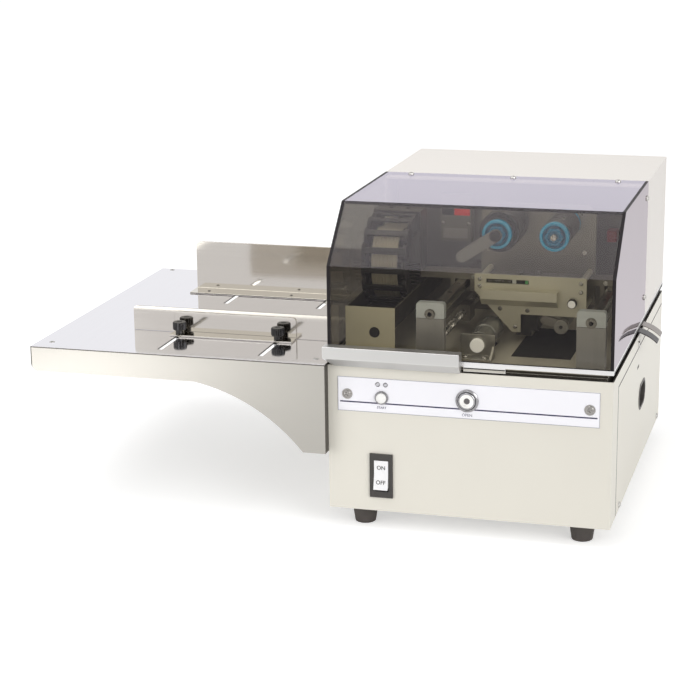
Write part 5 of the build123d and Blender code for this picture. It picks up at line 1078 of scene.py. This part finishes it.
# Painted shade: faces inside each core's front recess and bore are a deeper blue than the rest of the core.
core_recess_painted_shade = surface("core_recess_painted_shade", (14, 124, 168), 0.4, mottle=(0.05, 8), peel=(0.08, 0.6))
film = surface("ribbon_film", (34, 32, 36), 0.3, mottle=(0.08, 16), peel=(0.04, 0.4))
SUPPLY_AXIS, TAKEUP_AXIS = (9, 0, 364.5), (83, 0, 364.5)
FACE_RADIUS, INNER_RADIUS = 18.5, 15.1
WOUND_FRONT, WOUND_BACK = -115, -37
for reel_name, reel_axis in (("supply", SUPPLY_AXIS), ("takeup", TAKEUP_AXIS)):
    hub = bmesh.new()
    turned(hub, [(4.2, 122), (7.5, 122), (7.5, 125.2), (8.2, 126), (11, 126), (11.9, 125),
                (11.9, 29.6), (11.3, 29), (4.2, 29)], reel_axis, 72, closed=True, flutes=6,
           depth=1.4, fluted=(4, 6))
    finished(reel_name + "_hub_fluted", hub, reel_name + "_reel", hub_blue,
             (reel_name + "_hub",))
    core = bmesh.new()
    turned(core, [(12.1, 118), (14.6, 119), (15, 122.4), (15.6, 123), (18.2, 123), (19, 122.2), (19, 116),
                  (19, 36), (19, 29.8), (18.2, 29), (12.1, 29)], reel_axis, 64, closed=True)
    for face in core.faces:
        spot = face.calc_center_median() / MM
        away = math.hypot(spot.x - reel_axis[0], spot.z - reel_axis[2])
        wound_on = away > FACE_RADIUS and WOUND_FRONT < spot.y < WOUND_BACK
        face.material_index = 2 if wound_on else int(away < INNER_RADIUS)
    finished(reel_name + "_core_moulded", core, reel_name + "_reel",
             [core_blue, core_recess_painted_shade, film], (reel_name + "_core",))
wound = bmesh.new()
ends = [(19.1 + 0.69 * i, 0.12 * (i % 2)) for i in range(11)]
turned(wound, [(r, 106.0 - step) for r, step in ends] + [(r, 40.0 + step) for r, step in reversed(ends)],
       SUPPLY_AXIS, 72, closed=True)
finished("ribbon_roll_wound", wound, "supply_reel", film, ("ribbon_roll",))
lever_grey = brushed("lever_grey", (132, 131, 129), 0.4, metal=0.5, lines=(0.01, 0.4), mottle=0.01,
                     swing=0.008)
eased_part("reel_lever", "reel_lever", lever_grey, 0.5)
boss = bmesh.new()
turned(boss, [(0, 135), (3, 135), (6.2, 135), (7.2, 134.2), (7.2, 131.9), (0, 131.9)],
       SUPPLY_AXIS, 40)
finished("reel_lever_boss", boss, "reel_lever", chip_black)


# Sensors
# A grey sensor amplifier on the upright plate, with a dark window, a lit red display and a label. A small
# red sensor beside it watches the hood.
sensor_grey = surface("sensor_grey", (136, 133, 127), 0.45, mottle=(0.03, 14), peel=(0.1, 0.7), wear=0.2)
sensor_red = surface("sensor_red", (150, 38, 34), 0.35, mottle=(0.05, 8), peel=(0.08, 0.6), wear=0.2)
display_red = surface("display_red", (255, 38, 30), 0.2, mottle=(0.05, 4), peel=(0.03, 0.5))
glow(display_red, (1.0, 0.03, 0.02, 1.0), 0.12)
sensor_label = surface("sensor_label", (172, 169, 163), 0.4, mottle=(0.03, 6))
sensors = ease_edges(from_frame("sensor_units"), 0.8)
colour_faces(sensors, lambda middle, face: middle.x > 0)
for x0, x1, finish in ((-102, -85.4, 2), (-84.6, -63, 3)):
    block(sensors, x0, x1, 49.6, 50.2, 353, 362, finish)
block(sensors, -100, -66, 49.8, 50.2, 321, 335, 4)
finished("sensor_units_fitted", sensors, "chassis",
         [sensor_grey, sensor_red, slot_dark, display_red, sensor_label], ("sensor_units",))
screws("sensor_screws", [(-100.7, 50, 342, "-y"), (-64.8, 50, 342, "-y")], "chassis", screw_nickel,
       (2.4, 1.2), (2.8, 0.9), seed=48)


# Exit straps
# Two arched spring straps lead printed pieces out over the right wall. The rear one is bare steel, the
# front one is blackened.
strap_bright = brushed("strap_bright", (148, 142, 138), 0.34)
strap_dark = brushed("strap_dark", (58, 55, 58), 0.34, metal=0.5, lines=(0.05, 0.4))
straps = ease_edges(from_frame("exit_guides"), 0.3, 2, 50)
BETWEEN_STRAPS_Y = 8
colour_faces(straps, lambda middle, face: middle.y < BETWEEN_STRAPS_Y)
finished("exit_guides_arched", straps, "chassis", [strap_bright, strap_dark],
         ("exit_guides",))


# Feed table
# One sheet of mirror polished stainless steel with two slots in front and two short ones behind. Its two
# skirts are satin and curve down to the flanges that are screwed on to the case. Its cut edges and the
# upright faces of its right flange and of its skirt's left end are painted dark, as painted shade and dark
# reflection.
mirror_steel = brushed("mirror_steel", (229, 228, 234), 0.08, "y", lines=(0.008, 0.8), mottle=0.01,
                       wear=0.1, swing=0.012)
satin_steel = brushed("satin_steel", (164, 161, 155), 0.2, lines=(0.02, 0.5), mottle=0.015, swing=0.015)
# Painted shade: this dark steel on cut edges stands for their shade and dark reflection; rivet heads use it
# too.
edge_painted_shade_and_rivet_steel = surface("edge_painted_shade_and_rivet_steel", (96, 93, 89), 0.45, metal=1, mottle=(0.1, 5), peel=(0.1, 0.4))
SHEET_FROM_Z, SKIRT_FROM_Z, SKIRT_X, FLANGE_X = 217.1, 192, -578.6, -184
LEVEL, UPRIGHT = 0.98, 0.5


def table_finish(middle, face):
    """Mirror on top, painted shade at the cut edges, the right flange and the skirt's end, and satin
    elsewhere.
    """
    if face.normal.z > LEVEL and middle.z > SHEET_FROM_Z:
        return 0
    at_skirt = middle.x < SKIRT_X and middle.z > SKIRT_FROM_Z
    at_edge = middle.z > SHEET_FROM_Z or middle.x > FLANGE_X or at_skirt
    return 2 if abs(face.normal.z) < UPRIGHT and at_edge else 1


table = from_frame("feed_table")
cut_across(table, 2, SHEET_FROM_Z)
cut_across(table, 0, SKIRT_X)
colour_faces(table, table_finish)
mark_cut_edges(table, 2.3, 2)
ease_edges(table, 0.35, 2, 40)
finished("feed_table_folded", table, "chassis", [mirror_steel, satin_steel, edge_painted_shade_and_rivet_steel],
         ("feed_table",))


# Fences
# Two folded stainless fences hold the stack. The rear one is riveted down, the front one slides in the
# slots. Their cut edges and the front fence's low edge strips on the table are painted dark, as painted shade
# and dark reflection; the rear fence's rivet heads are the same dark steel.
fence_steel = brushed("fence_steel", (212, 207, 198), 0.09, lines=(0.006, 0.5), mottle=0.012, swing=0.012)
rear = from_frame("rear_fence")
mark_cut_edges(rear, 2.3, 1)
ease_edges(rear, 0.35, 2, 40)
for rivet_x in (-455, -330, -210):
    turned(rear, [(0, 1.1), (1.6, 0.8), (2.4, 0), (2.4, -0.5), (0, -0.5)], (rivet_x, 76, 220.5), 18,
           UPWARD, material=1)
finished("rear_fence_riveted", rear, "chassis", [fence_steel, edge_painted_shade_and_rivet_steel], ("rear_fence",))
front = from_frame("front_fence")
mark_cut_edges(front, 2.3, 1)
ease_edges(front, 0.25, 2, 40)
FOOT_FROM_Y, FACE_Y, LOW_EDGE_Z, STRIP_MM = -156, -152.3, 219.4, 0.5
for face in front.faces:
    middle = face.calc_center_median() / MM
    longest = max(e.calc_length() for e in face.edges)
    if middle.y < FOOT_FROM_Y:
        face.material_index = 0
    elif face.calc_area() < longest * STRIP_MM * MM and (middle.y < FACE_Y or middle.z < LOW_EDGE_Z):
        face.material_index = 1
finished("front_fence_folded", front, "front_guide", [fence_steel, edge_painted_shade_and_rivet_steel],
         ("front_fence",))


# Thumb knobs
# Black fluted knobs with a moulded neck. A steel stud runs down through the slot to a nut under the table.
knob_black = surface("knob_black", (26, 24, 23), 0.3, mottle=(0.1, 5), peel=(0.15, 0.5), wear=0.3)
for knob_side, knob_x in (("left", -409), ("right", -272)):
    knob_at = (knob_x, -167, 0)
    knob = bmesh.new()
    turned(knob, [(0, 236.5), (3.4, 236.5), (3.9, 237.1), (7.9, 237.1), (8.8, 236.4), (9, 235.6),
                 (9, 227.6), (8.7, 226.8), (7.8, 226.2), (6.2, 226), (5.6, 224), (5.8, 221.6),
                 (5.4, 221.1), (3, 221.1), (0, 221.1)], knob_at, 120, UPWARD, flutes=20,
           depth=0.9, fluted=(4, 7))
    turned(knob, [(3, 221.2), (3, 216.2), (2.6, 212.6), (2.2, 212.2), (0, 212.2), (0, 221.2)],
           knob_at, 24, UPWARD, material=1)
    turned(knob, [(3, 216.2), (6.3, 216.2), (7, 215.8), (7, 212.7), (6.4, 212.2), (3, 212.2)],
           knob_at, 6, UPWARD, closed=True, material=1)
    finished("thumb_knob_" + knob_side + "_fluted", knob, "knob_" + knob_side,
             [knob_black, bright_steel], ("thumb_knob_" + knob_side,))


# Hood panes
# Smoke tinted acrylic, 4 mm thick. The front pane is bent once, the others are cut flat and glued at their
# polished edges, which show as dark lines. The faces have a brown tint and mirror strongly at a flat angle.
def smoked_face(name, tint, straight, slanting, sheen):
    """One face of the acrylic: tinted see-through, with more mirror the flatter it is looked at."""
    material = bpy.data.materials.new(name)
    material.use_nodes = True
    tree = material.node_tree
    tree.nodes.remove(tree.nodes["Principled BSDF"])
    clear = put(tree, "ShaderNodeBsdfTransparent", {"Color": tint})
    where = put(tree, "ShaderNodeTexCoord").outputs["Object"]
    dust = put(tree, "ShaderNodeTexNoise", {"Scale": 26.0, "Detail": 6.0, "Vector": where})
    haze = put(tree, "ShaderNodeMapRange", {"To Min": 0.01, "To Max": 0.06, "Value": dust.outputs["Fac"]})
    mirror = put(tree, "ShaderNodeBsdfGlossy", {"Color": sheen, "Roughness": haze.outputs[0]})
    flat = put(tree, "ShaderNodeLayerWeight", {"Blend": 0.5}).outputs["Facing"]
    back = put(tree, "ShaderNodeNewGeometry").outputs["Backfacing"]
    strength = put(tree, "ShaderNodeMapRange", {"To Min": slanting, "To Max": slanting * 0.3, "Value": back})
    share = calc(tree, "MULTIPLY_ADD", calc(tree, "POWER", flat, 3.0), strength.outputs[0], straight)
    both = put(tree, "ShaderNodeMixShader", {0: share, 1: clear.outputs[0], 2: mirror.outputs[0]})
    set_inputs(tree.nodes["Material Output"], {"Surface": both.outputs[0]})
    return material


SMOKE = (0.79, 0.775, 0.735, 1)
acrylic_outside = smoked_face("acrylic_outside", SMOKE, 0.015, 1.15, (0.86, 0.82, 0.93, 1))
front_outside = smoked_face("acrylic_front_outside", SMOKE, 0.015, 1.13, (0.86, 0.80, 0.84, 1))
acrylic_inside = smoked_face("acrylic_inside", SMOKE, 0.004, 0.55, (0.8, 0.78, 0.84, 1))
side_outside = smoked_face("acrylic_side_outside", (0.56, 0.545, 0.525, 1), 0.022, 2.25,
                           (0.50, 0.465, 0.49, 1))
side_inside = smoked_face("acrylic_side_inside", (0.44, 0.435, 0.41, 1), 0.004, 0.5, (0.7, 0.67, 0.7, 1))
acrylic_edge = surface("acrylic_edge", (34, 30, 32), 0.5, mottle=(0.1, 20), peel=(0.05, 0.6), specular=0.15)


FACE_ON = 0.999


def pane(name, node, faces_out):
    """Builds a pane whose faces, by the way they look, are outside, inside or cut edge."""
    shape = ease_edges(from_frame(node), 0.3, 1, 50)
    shape.normal_update()
    for face in shape.faces:
        face.material_index = 2
        for way in faces_out or [(math.copysign(1.0, face.calc_center_median().x), 0, 0)]:
            match = face.normal.dot(Vector(way))
            if abs(match) > FACE_ON:
                face.material_index = 0 if match > 0 else 1
    outside = front_outside if node == "hood_front_pane" else acrylic_outside
    faces = [outside, acrylic_inside] if faces_out else [side_outside, side_inside]
    finished(name, shape, "hood", faces + [acrylic_edge], (node,))


pane("hood_front_pane_bent", "hood_front_pane", [(0, -1, 0), Vector((0, -69, 73)).normalized()])
pane("hood_top_pane_cut", "hood_top_pane", [(0, 0, 1)])
pane("hood_side_panes_cut", "hood_side_panes", [])


# Rear cover, rim and grip
# The painted rear half of the hood is a folded sheet with a lip under the panes. Aluminium strips close the
# hood along the bottom and carry the latch strike; their lower part is painted black as shade. The grip is
# one satin anodised bar with a slanting lip.
cover_coat = surface("cover_powder_coat", (232, 227, 221), 0.45, mottle=(0.01, 120), peel=(0.1, 1.6),
                     wear=0.3)
eased_part("rear_cover", "hood", cover_coat, 0.7, 3)
rim_aluminium = brushed("rim_aluminium", (214, 213, 212), 0.28, lines=(0.04, 0.4))
rim_painted_shade = brushed("rim_underside_painted_shade", (40, 36, 31), 0.5, metal=0.2, lines=(0.04, 0.4))
strike_grey = brushed("strike_grey", (178, 175, 166), 0.36, lines=(0.04, 0.4))
STRIKE_TOP, FRONT_SHADE_TOP, SHADE_TOP, FRONT_STRIP_Y = 220.9, 222.5, 226.6, -247


def rim_finish(middle, face):
    """Bright aluminium above, painted shade below, and the strike at the bottom."""
    if middle.z > (SHADE_TOP if middle.y > FRONT_STRIP_Y else FRONT_SHADE_TOP):
        return 0
    return 1 if middle.z > STRIKE_TOP else 2


rim = from_frame("hood_rim")
cut_across(rim, 2, STRIKE_TOP, FRONT_SHADE_TOP, SHADE_TOP)
colour_faces(rim, rim_finish)
ease_edges(rim, 0.5)
finished("hood_rim_eased", rim, "hood", [rim_aluminium, rim_painted_shade, strike_grey],
         ("hood_rim",))
grip_satin = brushed("grip_satin", (190, 189, 187), 0.42, lines=(0.05, 0.6), mottle=0.02)
eased_part("hood_grip", "hood", grip_satin, 0.9, 3)


# Hinges
# Two steel butt hinges with three knuckles on one pin, screwed to the back panel and to the rear cover.
hinge_steel = surface("hinge_steel", (170, 168, 165), 0.35, metal=1, mottle=(0.08, 7), peel=(0.06, 0.6),
                      wear=0.3)
eased_part("hinge_base_leaves", "chassis", hinge_steel, 0.3, 2, 45)
eased_part("hinge_hood_leaves", "hood", hinge_steel, 0.3, 2, 45)
for name, body, z, seed in (("hinge_base_screws", "chassis", 194, 21),
                            ("hinge_hood_screws", "hood", 250, 22)):
    screws(name, [(x + dx, 251.5, z, "+y") for x in (-120, 120) for dx in (-18, 0, 18)], body, screw_nickel,
           (2.9, 1.2), (3, 0.9), seed=seed)


# Screws of the hood and the case
# Pan head screws with cross recesses. The two on the label plate are larger and sit on washers.
hood_places = [(x, 32, 411, "+z") for x in (-141, 0, 141)]
hood_places += [(x, 32, z, way) for x, way in ((-WALL_X, "-x"), (WALL_X, "+x")) for z in (390, 255.5)]
screws("hood_screw_heads", hood_places, "hood", screw_nickel, (4, 2.4), (4.6, 1.5), seed=31,
       stands_for=("hood_screws",))
screw_plate = surface("screw_plate", (150, 147, 144), 0.26, metal=1, mottle=(0.12, 3), peel=(0.06, 0.4))
screws("label_screw_heads", [(-154.6, -251, 179.1, "-y"), (152.1, -251, 179.1, "-y")], "chassis",
       screw_plate, (5.2, 2.4), (5.8, 1.6), washer=6.9, seed=32)
case_places = [(x, y, z, way) for x, way in ((-WALL_X, "-x"), (WALL_X, "+x"))
               for y, z in ((-14, 203), (-174, 33), (222, 33))]
screws("case_screw_heads", case_places, "chassis", screw_nickel, (4, 2.4), (4.6, 1.5), seed=33,
       stands_for=("case_screws",))
screws("table_screw_heads", [(x, y, 218.5, "+z") for y in (-239, 204) for x in (-561, -199)], "chassis",
       screw_nickel, (3.8, 0.7), (4, 0.6), seed=34)
